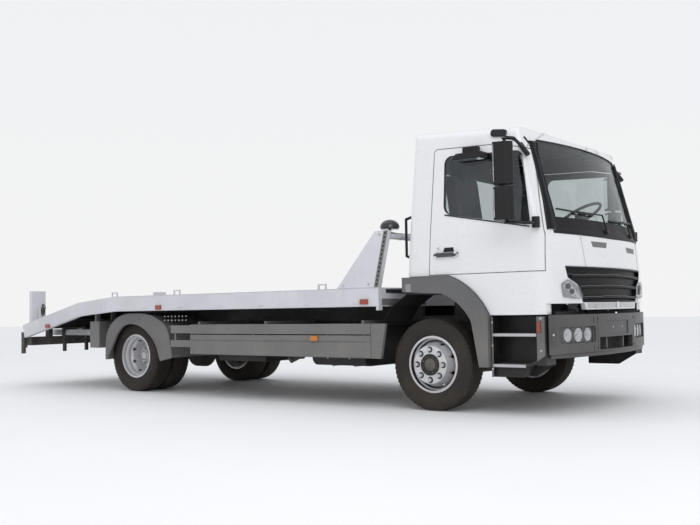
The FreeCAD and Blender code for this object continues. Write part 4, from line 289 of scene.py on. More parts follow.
def ramp(tree, value, low, high):
    return step(tree, "ShaderNodeMapRange", {"interpolation_type": "SMOOTHSTEP"},
                {"Value": value, "From Min": low, "From Max": high}).outputs[0]


def blendColour(tree, mask, first, second):
    made = step(tree, "ShaderNodeMix", {"data_type": "RGBA"}, {"Factor": mask})
    for key, value in ((6, first), (7, second)):
        if isinstance(value, bpy.types.NodeSocket):
            tree.links.new(value, made.inputs[key])
        else:
            made.inputs[key].default_value = (*value[:3], 1)
    return made.outputs[2]


# A shader group: its named number inputs, and its one output
def makeGroup(name, inputs, output, kind="NodeSocketFloat"):
    group = bpy.data.node_groups.new(name, "ShaderNodeTree")
    for label, value in inputs.items():
        socket = group.interface.new_socket(name=label, in_out="INPUT", socket_type="NodeSocketFloat")
        socket.default_value = value
    group.interface.new_socket(name=output, in_out="OUTPUT", socket_type=kind)
    given = group.nodes.new("NodeGroupInput").outputs
    result = group.nodes.new("NodeGroupOutput").inputs[output]

    def give(value):
        group.links.new(value, result)
        return group
    return group, given, give


def partsOf(tree, vector):
    return step(tree, "ShaderNodeSeparateXYZ", None, {0: vector}).outputs


def noise(tree, vector, scale, detail=3.0, rough=0.55):
    sockets = {"Vector": vector, "Scale": scale, "Detail": detail, "Roughness": rough}
    return step(tree, "ShaderNodeTexNoise", None, sockets).outputs[0]


def placeOf(tree):
    return step(tree, "ShaderNodeTexCoord").outputs["Object"]


# Rounded edges, seen in the shading only
def makeSoftEdges():
    group, given, give = makeGroup("soft edges", {"Radius": 0.004}, "Normal", "NodeSocketVector")
    bevel = step(group, "ShaderNodeBevel", {"samples": 4}, {"Radius": given["Radius"]})
    return give(bevel.outputs[0])


# Where paint rubs off: near edges, broken up by noise
def makeEdgeWear():
    group, given, give = makeGroup("edge wear", {"Width": 0.006, "Amount": 0.5, "Scale": 30.0}, "Mask")
    bevel = step(group, "ShaderNodeBevel", {"samples": 4}, {"Radius": given["Width"]})
    flat = step(group, "ShaderNodeNewGeometry").outputs["Normal"]
    both = {0: bevel.outputs[0], 1: flat}
    dot = step(group, "ShaderNodeVectorMath", {"operation": "DOT_PRODUCT"}, both).outputs["Value"]
    edge = ramp(group, maths(group, "SUBTRACT", 1.0, dot), 0.02, 0.22)
    broken = ramp(group, noise(group, placeOf(group), given["Scale"], 5.0, 0.7), 0.46, 0.62)
    return give(times(group, times(group, edge, broken), given["Amount"], True))


# Road dust: thickest low down and on what faces up
def makeDust():
    group, given, give = makeGroup("dust", {"Amount": 0.3, "Low": 0.3, "High": 1.2, "Scale": 3.0}, "Mask")
    place = placeOf(group)
    height = partsOf(group, place)["Z"]
    low = maths(group, "SUBTRACT", 1.0, ramp(group, height, given["Low"], given["High"]))
    facing = partsOf(group, step(group, "ShaderNodeNewGeometry").outputs["Normal"])["Z"]
    up = ramp(group, facing, 0.3, 1.0)
    wide = noise(group, place, given["Scale"], 6.0, 0.65)
    fine = noise(group, place, times(group, given["Scale"], 22.0), 3.0)
    cover = plus(group, times(group, low, 0.8), times(group, up, 0.35))
    patchy = plus(group, ramp(group, wide, 0.35, 0.75), times(group, ramp(group, fine, 0.5, 0.7), 0.35))
    return give(times(group, times(group, cover, patchy), given["Amount"], True))


# Rain streaks and water marks running down
def makeStreaks():
    group, given, give = makeGroup("streaks", {"Amount": 0.2, "Scale": 14.0}, "Mask")
    scaled = step(group, "ShaderNodeMapping", None, {"Vector": placeOf(group), "Scale": (1.0, 1.0, 0.09)}).outputs[0]
    lines = ramp(group, noise(group, scaled, given["Scale"], 4.0, 0.6), 0.52, 0.7)
    broken = ramp(group, noise(group, placeOf(group), 2.2, 3.0), 0.4, 0.65)
    return give(times(group, times(group, lines, broken), given["Amount"], True))


# Fine grain of moulded plastic, cast iron or sprayed paint, as a height
def makeGrain():
    group, given, give = makeGroup("grain", {"Scale": 400.0, "Strength": 0.1}, "Height")
    return give(times(group, noise(group, placeOf(group), given["Scale"], 2.0), given["Strength"]))


# Long fine scratches in two directions
def makeScratches():
    group, given, give = makeGroup("scratches", {"Scale": 40.0, "Amount": 0.4}, "Mask")
    place = placeOf(group)
    masks = []
    for turn in (0.35, -0.9):
        sockets = {"Vector": place, "Rotation": (0.3, turn, turn), "Scale": (0.05, 1.0, 1.0)}
        scaled = step(group, "ShaderNodeMapping", None, sockets).outputs[0]
        masks.append(ramp(group, noise(group, scaled, given["Scale"], 6.0, 0.75), 0.6, 0.68))
    both = maths(group, "MAXIMUM", masks[0], masks[1])
    return give(times(group, both, given["Amount"], True))


# Raised lozenges of tread plate, as a height
def makeTreadPlate():
    group, given, give = makeGroup("tread plate", {"Pitch": 60.0}, "Height")
    parts = partsOf(group, placeOf(group))
    a = times(group, plus(group, parts["X"], parts["Y"]), given["Pitch"])
    b = times(group, maths(group, "SUBTRACT", parts["X"], parts["Y"]), given["Pitch"])
    one = times(group, maths(group, "SINE", a), maths(group, "SINE", times(group, b, 0.5)))
    two = times(group, maths(group, "SINE", b), maths(group, "SINE", times(group, a, 0.5)))
    return give(maths(group, "MAXIMUM", ramp(group, one, 0.55, 0.8), ramp(group, two, 0.55, 0.8)))


# Woven cloth, as a height
def makeWeave():
    group, given, give = makeGroup("weave", {"Pitch": 900.0}, "Height")
    parts = partsOf(group, placeOf(group))
    along = maths(group, "SINE", times(group, plus(group, parts["X"], parts["Z"]), given["Pitch"]))
    across = maths(group, "SINE", times(group, parts["Y"], given["Pitch"]))
    return give(times(group, along, across))


groups = {"soft": makeSoftEdges(), "wear": makeEdgeWear(), "dust": makeDust(), "streaks": makeStreaks(),
          "grain": makeGrain(), "scratches": makeScratches(), "plate": makeTreadPlate(), "weave": makeWeave()}


def use(tree, name, sockets):
    return step(tree, "ShaderNodeGroup", {"node_tree": groups[name]}, sockets).outputs[0]


def emptyMaterial(name):
    made = bpy.data.materials.new(name)
    made.use_nodes = True
    made.node_tree.nodes.clear()
    return made, made.node_tree


def bumped(tree, normal, height, strength, distance):
    return step(tree, "ShaderNodeBump", None, {"Height": height, "Strength": strength, "Distance": distance,
                                               "Normal": normal}).outputs[0]


# What a finish is, unless its own dictionary says otherwise
plain = {
    "cloud": 1.7, "uneven": 0.04, "smudge": 6.0, "roughVary": 0.12, "streaks": 0, "scratches": 0, "wear": 0, "rust": 0,
    "dust": 0, "under": (0.32, 0.31, 0.3), "dustLow": 0.3, "dustHigh": 1.3, "dustColour": (0.3, 0.27, 0.235),
    "round": 0.004, "plate": 0, "weave": 0, "grain": 300.0, "bump": 0.03, "metallic": 0.0, "coat": 0.0,
    "sheen": 0.0, "specular": 0.5}
rustColour = (0.16, 0.06, 0.025)


# One recipe for paint, plastic, rubber, iron and metal; the dictionary holds what differs
def solidMaterial(name, colour, rough, changes):
    look = {**plain, **changes}
    made, tree = emptyMaterial(name)
    place = placeOf(tree)
    uneven = look["uneven"]
    base = blendColour(tree, ramp(tree, noise(tree, place, look["cloud"], 4.0), 0.35, 0.7),
                       [c * (1 - uneven) for c in colour], [min(1, c * (1 + uneven)) for c in colour])
    roughness = plus(tree, rough, times(tree, noise(tree, place, look["smudge"], 5.0), look["roughVary"]))

    def cover(mask, over, duller):
        return blendColour(tree, mask, base, over), plus(tree, roughness, times(tree, mask, duller))

    if look["streaks"]:
        mask = use(tree, "streaks", {"Amount": look["streaks"]})
        base, roughness = cover(mask, [c * 0.55 for c in colour], 0.2)
    if look["scratches"]:
        mask = use(tree, "scratches", {"Amount": look["scratches"]})
        base, roughness = cover(mask, [min(1, c * 1.5 + 0.05) for c in colour], 0.15)
    if look["wear"]:
        base, roughness = cover(use(tree, "wear", {"Amount": look["wear"]}), look["under"], 0.2)
    if look["rust"]:
        spots = ramp(tree, noise(tree, place, 9.0, 8.0, 0.75), 0.62, 0.72)
        base, roughness = cover(times(tree, spots, look["rust"], True), rustColour, 0.4)
    if look["dust"]:
        mask = use(tree, "dust", {"Amount": look["dust"], "Low": look["dustLow"], "High": look["dustHigh"]})
        base, roughness = cover(mask, look["dustColour"], 0.35)
    normal = use(tree, "soft", {"Radius": look["round"]})
    if look["plate"]:
        normal = bumped(tree, normal, use(tree, "plate", {"Pitch": look["plate"]}), 0.6, 0.002)
    if look["weave"]:
        normal = bumped(tree, normal, use(tree, "weave", {"Pitch": look["weave"]}), 0.5, 0.001)
    grain = use(tree, "grain", {"Scale": look["grain"], "Strength": 1.0})
    normal = bumped(tree, normal, grain, look["bump"], 0.001)
    shader = step(tree, "ShaderNodeBsdfPrincipled", None, {
        "Base Color": base, "Roughness": maths(tree, "MINIMUM", roughness, 1.0), "Metallic": look["metallic"],
        "Coat Weight": look["coat"], "Coat Roughness": 0.06, "Normal": normal, "Sheen Weight": look["sheen"],
        "Specular IOR Level": look["specular"]})
    step(tree, "ShaderNodeOutputMaterial", None, {0: shader.outputs[0]})
    return made


# Window glass: tinted, mirror-like at a slant, with a film of dust
def glassMaterial(name, tint, rough=0.02, film=0.05, gloss=1.0):
    made, tree = emptyMaterial(name)
    place = placeOf(tree)
    clear = step(tree, "ShaderNodeBsdfTransparent", None, {"Color": (*tint, 1)})
    shine = step(tree, "ShaderNodeBsdfGlossy", None, {"Color": (0.95, 0.97, 1.0, 1), "Roughness": rough})
    behind = step(tree, "ShaderNodeNewGeometry").outputs["Backfacing"]
    bend = maths(tree, "SUBTRACT", 1.5, times(tree, behind, 0.8333))  # the same share of shine from both sides
    share = times(tree, step(tree, "ShaderNodeFresnel", None, {"IOR": bend}).outputs[0], gloss, True)
    pane = step(tree, "ShaderNodeMixShader", None, {0: share, 1: clear.outputs[0], 2: shine.outputs[0]})
    mask = times(tree, ramp(tree, noise(tree, place, 5.0, 6.0, 0.7), 0.4, 0.8), film)
    grime = step(tree, "ShaderNodeBsdfDiffuse", None, {"Color": (0.5, 0.48, 0.45, 1)})
    whole = step(tree, "ShaderNodeMixShader", None, {0: mask, 1: pane.outputs[0], 2: grime.outputs[0]})
    step(tree, "ShaderNodeOutputMaterial", None, {0: whole.outputs[0]})
    return made


# Lamp lens: clear or coloured, with fine ribs pressed in
def lensMaterial(name, tint, ribs=260.0, strength=0.25, depth=0.6):
    made, tree = emptyMaterial(name)
    parts = partsOf(tree, placeOf(tree))
    wave = maths(tree, "SINE", times(tree, plus(tree, parts["Y"], parts["X"]), ribs))
    cross = maths(tree, "SINE", times(tree, parts["Z"], ribs * 0.6))
    height = plus(tree, wave, times(tree, cross, 0.5))
    normal = step(tree, "ShaderNodeBump", None, {"Height": height, "Strength": strength, "Distance": 0.002}).outputs[0]
    sockets = {"Base Color": (*tint, 1), "Roughness": 0.12, "Coat Weight": 0.6, "Coat Roughness": 0.03,
               "Normal": normal}
    body = step(tree, "ShaderNodeBsdfPrincipled", None, sockets)
    clear = step(tree, "ShaderNodeBsdfTransparent", None, {"Color": (*[min(1, t * 0.6 + 0.4) for t in tint], 1)})
    whole = step(tree, "ShaderNodeMixShader", None, {0: depth, 1: clear.outputs[0], 2: body.outputs[0]})
    step(tree, "ShaderNodeOutputMaterial", None, {0: whole.outputs[0]})
    return made


# Finishes: name, colour, roughness and what differs from the plain one
paints = {
    "cab": (0.77, 0.775, 0.785), "deck": (0.62, 0.62, 0.66), "guard": (0.15, 0.15, 0.148),
    "plastic": (0.12, 0.12, 0.122), "bumper": (0.055, 0.055, 0.056), "black": (0.012, 0.012, 0.013),
    "frame": (0.022, 0.022, 0.024),
    "wheel": (0.63, 0.63, 0.65), "tyre": (0.026, 0.022, 0.019), "iron": (0.05, 0.046, 0.042), "zinc": (0.5, 0.51, 0.52)}
solids = {
    "cabPaint": ("cab paint", paints["cab"], 0.22, {"coat": 0.7, "dust": 0.16, "dustLow": 0.75, "dustHigh": 1.9,
                 "bump": 0.012, "grain": 900.0, "round": 0.012, "uneven": 0.012, "streaks": 0.04,
                 "dustColour": (0.5, 0.48, 0.46)}),
    "deckPaint": ("deck paint", paints["deck"], 0.42, {"coat": 0.1, "dust": 0.22, "dustLow": 0.5, "dustHigh": 1.4,
                  "bump": 0.03, "round": 0.006, "uneven": 0.05, "scratches": 0.12, "wear": 0.35, "streaks": 0.12,
                  "under": (0.4, 0.39, 0.38)}),
    "deckPlate": ("deck plate", (0.42, 0.42, 0.44), 0.38, {"metallic": 0.55, "plate": 62.0, "dust": 0.5,
                  "scratches": 0.5, "uneven": 0.12, "rust": 0.25, "dustLow": 1.5, "dustHigh": 2.0}),
    "guard": ("guard paint", paints["guard"], 0.45, {"dust": 0.4, "wear": 0.4, "scratches": 0.18, "round": 0.005,
              "uneven": 0.08}),
    "plastic": ("grey plastic", paints["plastic"], 0.5, {"dust": 0.42, "grain": 700.0, "bump": 0.06, "round": 0.01,
                "uneven": 0.06, "scratches": 0.08}),
    "bumper": ("bumper plastic", paints["bumper"], 0.36, {"dust": 0.22, "grain": 700.0, "bump": 0.06, "round": 0.012,
               "uneven": 0.08, "scratches": 0.1}),
    "black": ("black plastic", paints["black"], 0.34, {"specular": 0.3, "dust": 0.1, "grain": 600.0, "bump": 0.05,
              "round": 0.006, "uneven": 0.15}),
    "gloss": ("gloss black", (0.012, 0.012, 0.014), 0.12, {"coat": 0.4, "dust": 0.08, "round": 0.004}),
    "frame": ("chassis paint", paints["frame"], 0.5, {"dust": 0.5, "wear": 0.3, "rust": 0.3, "uneven": 0.2,
              "under": (0.14, 0.09, 0.07)}),
    "tyre": ("tyre rubber", paints["tyre"], 0.72, {"dust": 0.6, "dustLow": 0.0, "dustHigh": 1.3,
             "dustColour": (0.085, 0.072, 0.06), "grain": 260.0, "bump": 0.12, "round": 0.003, "uneven": 0.2,
             "specular": 0.35}),
    "wheel": ("wheel silver", paints["wheel"], 0.34, {"metallic": 0.35, "dust": 0.35, "dustLow": 0.1,
              "dustHigh": 0.75, "wear": 0.2, "round": 0.008, "rust": 0.1, "uneven": 0.08,
              "under": (0.3, 0.22, 0.18)}),
    "iron": ("axle iron", paints["iron"], 0.7, {"dust": 0.6, "rust": 0.6, "grain": 180.0, "bump": 0.15,
             "uneven": 0.3}),
    "zinc": ("zinc coat", paints["zinc"], 0.4, {"metallic": 0.7, "uneven": 0.2, "cloud": 12.0, "dust": 0.3,
             "scratches": 0.4, "rust": 0.12}),
    "steel": ("bright steel", (0.55, 0.55, 0.56), 0.28, {"metallic": 0.95, "scratches": 0.5, "dust": 0.2,
              "uneven": 0.08}),
    "chrome": ("reflector", (0.85, 0.86, 0.88), 0.08, {"metallic": 1.0, "uneven": 0.03, "roughVary": 0.05}),
    "lining": ("cab lining", (0.05, 0.052, 0.056), 0.62, {"grain": 300.0, "bump": 0.02, "uneven": 0.06,
               "round": 0.01}),
    "cloth": ("seat cloth", (0.06, 0.066, 0.085), 0.92, {"weave": 1500.0, "sheen": 0.25, "uneven": 0.15,
              "round": 0.02}),
    "rope": ("wire rope", (0.32, 0.31, 0.3), 0.5, {"metallic": 0.8, "rust": 0.3, "uneven": 0.2}),
    "rubber": ("rubber", (0.015, 0.015, 0.016), 0.6, {"dust": 0.25, "grain": 500.0, "bump": 0.08}),
    "grip": ("step tread", (0.34, 0.345, 0.35), 0.45, {"metallic": 0.5, "plate": 220.0, "dust": 0.4,
             "scratches": 0.4, "uneven": 0.1}),
    "mirror": ("mirror", (0.8, 0.83, 0.85), 0.03, {"metallic": 1.0, "uneven": 0.02, "roughVary": 0.02}),
    "plate": ("blank plate", (0.62, 0.62, 0.6), 0.4, {"dust": 0.3, "uneven": 0.05}),
    # Near black: painted shade in holes, hollows and gaps, and also the colour of a few dark parts
    "shade": ("dark hollow", (0.008, 0.008, 0.009), 0.7, {"dust": 0.15, "uneven": 0.3}),
    "grille": ("grille black", (0.01, 0.01, 0.011), 0.42, {"specular": 0.15, "dust": 0.06, "uneven": 0.1}),
    "tape": ("worn patch", (0.26, 0.26, 0.26), 0.55, {"dust": 0.3, "uneven": 0.1}),
}
finish = {key: solidMaterial(*row) for key, row in solids.items()}
finish.update({
    "glass": glassMaterial("tinted glass", (0.72, 0.75, 0.765)),
    "screen": glassMaterial("windscreen glass", (0.93, 0.95, 0.93), 0.02, 0.03, 0.5),
    "lensClear": lensMaterial("clear lens", (0.6, 0.61, 0.62), 300.0, 0.35, 0.16),
    "lensRed": lensMaterial("red lens", (0.42, 0.02, 0.015), 500.0, 0.5, 0.85),
    "lensAmber": lensMaterial("amber lens", (0.62, 0.2, 0.02), 500.0, 0.5, 0.85),
    "bulb": lensMaterial("bulb", (0.9, 0.88, 0.8), 60.0, 0.1, 0.7),
    "lensDark": lensMaterial("dark amber lens", (0.34, 0.045, 0.015), 500.0, 0.5, 0.88),
})
print("stage: finishes made", len(finish))

nodesOf = {
    "frame": "ladder_frame deck_frame ramp_guides underrun_bar winch_frame",
    "iron": "driveline front_axle leaf_springs rear_axle knuckle_left knuckle_right track_rod",
    "black": "under_deck_tanks arch_liners step_wells mirror_left mirror_right cab_trim grab_rail",
    "guard": "tool_boxes side_guards",
    "plastic": "rear_mudguards front_fenders",
    "bumper": "bumper",
    "lensClear": "headlamps cab_lamps",
    "deckPaint": "deck_rails headboard lashing_rings rear_posts",
    "deckPlate": "deck_floor",
    "lensRed": "tail_lamps",
    "lensAmber": "marker_lamps",
    "gloss": "work_lamp",
    "steel": "winch_drum",
    "zinc": "ramp_left ramp_right",
    "wheel": "rim_front_left rim_front_right rims_rear_left rims_rear_right",
    "tyre": "tyre_front_left tyre_front_right tyres_rear_left tyres_rear_right",
    "cabPaint": "cab_shell door_left door_right",
    "lining": "cab_floor seat_bases dashboard",
    "screen": "cab_glass",
    "glass": "door_glass_left door_glass_right",
    "grille": "grille",
    "cloth": "seat_cushions",
}
nodeFinish = {node: look for look, names in nodesOf.items() for node in names.split()}
for name, obj in nodes.items():
    obj.data.materials.clear()
    obj.data.materials.append(finish[nodeFinish[name]])
    obj.data.shade_smooth()
    obj.data.set_sharp_from_angle(angle=math.radians(32))
print("stage: finishes on", len(nodes), "nodes")


# A place on a ring that stands upright beside the truck, at a share of a turn round it
def around(centre, radius, share, out=0.0):
    angle = 2 * math.pi * share
    return centre + Vector((radius * math.cos(angle), out, radius * math.sin(angle)))


# Tyres with grooves and shoulder blocks, in place of the plain ones
tyreLook = {"radius": 0.42, "half": 0.122, "tread": 0.1, "grooves": (-0.052, -0.018, 0.018, 0.052), "grooveWide": 0.011,
            "grooveDeep": 0.011, "pitches": 60, "shoulderNotch": 0.007}


def addTyre(shape, centre):
    top, half, edge = tyreLook["radius"], tyreLook["half"], tyreLook["tread"]
    wall = [(0.262, 0.0915), (0.268, 0.098), (0.276, 0.101), (0.282, 0.108), (0.3, 0.1165), (0.304, 0.1165),
            (0.306, 0.1185), (0.33, half), (0.352, half), (0.354, half - 0.0015), (0.362, half - 0.002), (0.376, 0.1175),
            (0.392, 0.1125), (0.4, 0.1085), (0.411, edge + 0.003)]
    crown = [(edge, 0.0)]
    wide = tyreLook["grooveWide"] / 2
    for groove in sorted(tyreLook["grooves"], reverse=True):
        crown += [(groove + wide, 0.0), (groove + wide * 0.6, 1.0), (groove - wide * 0.6, 1.0), (groove - wide, 0.0)]
    crown.append((-edge, 0.0))
    profile = wall + [(top - 0.004 * (y / edge) ** 2 - deep * tyreLook["grooveDeep"], y) for y, deep in crown]
    profile += [(r, -y) for r, y in reversed(wall)]
    notch = [j for j, (r, y) in enumerate(profile) if r > 0.398 and abs(y) > 0.058]
    profile += [(0.2485, -0.083), (0.2485, 0.083)]

    def reach(j, k, radius):
        return radius - tyreLook["shoulderNotch"] if j in notch and k % 4 == 0 else radius
    shape.lathe(profile, centre, (0, 1, 0), tyreLook["pitches"] * 4, True, reach)


tyreSets = (("tyreFront", "wheel_front_", "tyre_front_", 0, frontTracks),
            ("tyresRear", "wheels_rear_", "tyres_rear_", -wheelBase, rearTracks))
for side, label in sides:
    for name, body, node, x, tracks in tyreSets:
        tyres = Shape()
        for track in tracks:
            addTyre(tyres, spot(x, side * track, tyreLook["radius"]))
        tyres.build(name + label, body + label, finish["tyre"], "tyre_rubber", 28, replaces=[node + label])
print("stage: tyres")


# Wheel nuts with stud ends, and the dark rings round them: painted shade in the nut seats
nutLook = {"count": 8, "circle": 0.1375, "across": 0.027, "high": 0.02, "stud": 0.0095}


def addNuts(shape, centre, side, face, rings=None):
    for k in range(nutLook["count"]):
        place = around(centre, nutLook["circle"], k / nutLook["count"], side * face)
        shape.hexagon(place, (0, side, 0), nutLook["across"], nutLook["high"])
        if rings:
            rings.lathe([(0.0285, 0.0), (0.0285, 0.0015), (0.0, 0.0018)], place, (0, side, 0), 20)
        shape.rod(place, place + Vector((0, side * (nutLook["high"] + 0.006), 0)), nutLook["stud"], 10)


def boltRing(shape, centre, side, face, count, circle, across, high, start=0.0):
    for k in range(count):
        shape.hexagon(around(centre, circle, (k + start) / count, side * face), (0, side, 0), across, high)


for side, label in sides:
    body = "wheel_front_" + label
    centre = spot(0, side * frontTracks[0], tyreLook["radius"])
    nuts, dark, cap = Shape(), Shape(), Shape()
    addNuts(nuts, centre, side, 0.1395, dark)
    hub = skinOf("rim_front_" + label).ray_cast(centre + Vector((0.03, side, 0)), Vector((0, -side, 0)))[0]
    depth = abs(hub.y) - frontTracks[0]  # how far out the hub's face stands
    # a near-black disc round the hub: painted shade in the hub's hollow
    dark.lathe([(0.0, 0.001), (0.092, 0.001), (0.098, 0.004), (0.098, -0.004)],
               centre + Vector((0, side * depth, 0)), (0, side, 0), 40)
    dark.build("darkFront" + label, body, finish["shade"], "axle_iron")
    nuts.build("nutsFront" + label, body, finish["steel"], "wheel_silver")
    rise = ((0.0, 0.012), (0.03, 0.0115), (0.05, 0.009), (0.056, 0.004), (0.058, 0.0))
    cap.lathe([(radius, depth + high) for radius, high in rise], centre, (0, side, 0), 40)
    boltRing(cap, centre, side, depth + 0.001, 8, 0.074, 0.012, 0.006, 0.5)
    cap.build("hubCapFront" + label, body, finish["iron"], "axle_iron")
    body = "wheels_rear_" + label
    centre = spot(-wheelBase, side * rearTracks[0], tyreLook["radius"])
    nuts, cap = Shape(), Shape()
    addNuts(nuts, centre, side, -0.1275)
    nuts.build("nutsRear" + label, body, finish["steel"], "wheel_silver")
    boltRing(cap, centre, side, -0.0315, 10, 0.05, 0.014, 0.008)
    cap.build("hubBoltsRear" + label, body, finish["iron"], "axle_iron")
print("stage: wheels")

# Small parts are gathered by body and finish, so that each body gets one mesh per finish
kits = {}
looksOf = {
    "black_plastic": "black gloss rubber shade grille", "cab_lining": "lining", "galvanised": "steel zinc grip",
    "lamp_clear": "chrome mirror bulb lensClear", "grey_plastic": "plastic bumper", "guard_grey": "guard tape",
    "frame_black": "frame", "axle_iron": "iron", "deck_paint": "deckPaint plate", "cab_paint": "cabPaint",
    "lamp_red": "lensRed lensDark", "lamp_amber": "lensAmber", "winch_steel": "rope", "wheel_silver": "wheel"}
slotFor = {look: slot for slot, looks in looksOf.items() for look in looks.split()}


def kit(body, look):
    return kits.setdefault((body, look), Shape())


def truck(look):
    return kit("chassis", look)


def cab(look):
    return kit("cab", look)


def bolt(shape, place, axis, across, high):
    shape.hexagon(place, axis, across, high)
    shape.lathe([(across * 0.85, -0.001), (across * 0.85, 0.002), (0.0, 0.0022)], place, axis, 12)


# A rounded disc with its face towards an axis
def button(shape, place, axis, radius, high, steps=20):
    shape.lathe([(radius, 0), (radius, high * 0.6), (radius * 0.8, high), (0.0, high)], place, axis, steps)


# A thin solid from a grid of outer points, the same grid further in, and the length of a row
def ply(shape, top, low, wide):
    up, across, count = len(top) // wide - 1, wide - 1, len(top)
    grid = [j * wide + i for j in range(up) for i in range(across)]
    faces = [(k, k + 1, k + wide + 1, k + wide) for k in grid]
    faces += [tuple(i + count for i in reversed(face)) for face in faces]
    rim = list(range(wide)) + [j * wide + across for j in range(1, up + 1)]
    rim += [up * wide + i for i in range(across - 1, -1, -1)] + [j * wide for j in range(up - 1, 0, -1)]
    faces += [(a, b, b + count, a + count) for a, b in zip(rim, rim[1:] + rim[:1])]
    return shape.add(top + low, faces)


# Where a point lands on a skin: one that misses is drawn towards the middle until it hits
def landed(skin, point, middle, cast):
    for k in range(16):
        place, normal = onSkin(skin, cast[0](point.lerp(middle, k * 0.02)), cast[1])
        if place is not None:
            break
    return place, normal


# A thin sheet laid on a skin: corners along the bottom, then back along the top
def patch(shape, skin, corners, cast, lift, across=12, up=3, depth=0.003):
    a, b, c, d = [Vector(p) for p in corners]
    top, low = [], []
    for j in range(up + 1):
        for i in range(across + 1):
            s, t = i / across, j / up
            point = (a * (1 - s) + b * s) * (1 - t) + (d * (1 - s) + c * s) * t
            place, normal = landed(skin, point, (a + b + c + d) / 4, cast)
            if place is None:
                return shape
            top.append(place + normal * lift)
            low.append(place - normal * depth)
    return ply(shape, top, low, across + 1)


def oblong(first, last, low, high):
    return [(first, low), (last, low), (last, high), (first, high)]


def sideView(points):
    return [(x + axleX, z) for x, z in points]


# Faces of a node that pass a test get a second finish
def dress(name, look, test):
    mesh = nodes[name].data
    mesh.materials.append(finish[look])
    for face in mesh.polygons:
        if test(face):
            face.material_index = 1


def inRimWell(face):
    arm = Vector((face.center.x - axleX, 0, face.center.z - tyreLook["radius"]))
    return 0.19 < arm.length < 0.245 and face.normal.dot(arm.normalized()) < -0.3


# The cab's lining is the same solid as its paint, so it is picked by which way a face looks
cabMiddle = spot(0.45, 0, 1.9)
for name in ("cab_shell", "door_left", "door_right"):
    dress(name, "lining", lambda face: face.normal.dot((cabMiddle - face.center).normalized()) > 0.12)
dress("marker_lamps", "lensDark", lambda face: face.center.z > 0.7)
for side, label in sides:
    dress("rim_front_" + label, "shade", inRimWell)  # the front rims' wells are in deep shade

# Windscreen border, black sill and pillars, seals
sealLook = {"border": 0.058, "lift": 0.004}
shell = skinOf("cab_shell", "cab_glass", "door_left", "door_right", "door_glass_left", "door_glass_right")
paintSkin = skinOf("cab_shell")
glassOnly = skinOf("cab_glass")
screenLine = rounded([(-0.905, 2.392), (0.905, 2.392), (1.11, 1.572), (-1.11, 1.572)], 0.06, 0.05)
trim = cab("grille")
flush, thin = 0.0012, 0.0005  # how far trim on the glass stands proud, and how deep it goes
band(trim, glassOnly, screenLine, fromFront, -0.004, -sealLook["border"], flush, thin)
band(cab("rubber"), paintSkin, screenLine, fromFront, 0.0, 0.014, 0.003)


# The windscreen's half width at a height
def screenEdge(side, z):
    tries = [1.2 - k * 0.002 for k in range(200)]
    return next((y for y in tries if ahead(glassOnly, side * y, z)[0] is not None), 0.9)


# The furthest forward that the cab's front reaches close to a point
def frontX(y, z):
    hits = [ahead(shell, y, z + lift)[0] for lift in (-0.008, 0, 0.008)]
    return max(p.x for p in hits if p is not None)


for side, label in sides:
    corners = [(0, 1.58), (side * 1.095, 1.58), (side * 1.05, 1.7), (0, 1.7)]
    patch(trim, glassOnly, corners, fromFront, flush, 20, 4, thin)
    pillar = [spot(0.94, side * 1.028, 2.4), spot(0.974, side * 0.98, 2.322), spot(1.03, side * 0.985, 2.097),
              spot(1.09, side * 1.004, 1.843), spot(1.146, side * 1.05, 1.58)]
    cab("black").tube(pillar, 0.009, 8)
    levels = [1.585 + k * 0.087 for k in range(10)]
    edges = [screenEdge(side, z) for z in levels]
    for e0, e1, z0, z1 in zip(edges, edges[1:], levels, levels[1:]):
        corners = [(side * (e0 - 0.055), z0), (side * (e0 - 0.002), z0), (side * (e1 - 0.002), z1),
                   (side * (e1 - 0.055), z1)]
        patch(trim, glassOnly, corners, fromFront, flush, 3, 2, thin)
    strip = []
    for edge, z in zip(edges, levels):
        lower = max((p for p in pillar if p.z <= z), key=lambda p: p.z)
        upper = min((p for p in pillar if p.z > z), key=lambda p: p.z)
        line = lower.lerp(upper, (z - lower.z) / (upper.z - lower.z))
        skinX, outerX = frontX(side * (edge + 0.008), z), frontX(side * (edge + 0.02), z)
        near = Vector((skinX + (skinX - outerX) * 1.17 + 0.003, side * (edge - 0.006), z))
        bow = Vector((0.75, side * 0.66, 0)) * 0.064  # the pillar is convex, so the strip bows outwards
        strip += [near.lerp(Vector((line.x, line.y, z)), k / 5) + bow * (k / 5) * (1 - k / 5) for k in range(6)]
    ply(trim, strip, [p - Vector((0.003, 0, 0)) for p in strip], 6)
sill = []
for row in range(3):
    for k in range(41):
        y = 0.975 * (k / 20 - 1)
        z = (1.54 + 0.014 * abs(y), 1.572, 1.603)[row]
        sill.append(Vector((frontX(y, z) + 0.003, y, z)))
ply(trim, sill, [p - Vector((0.004, 0, 0)) for p in sill], 41)

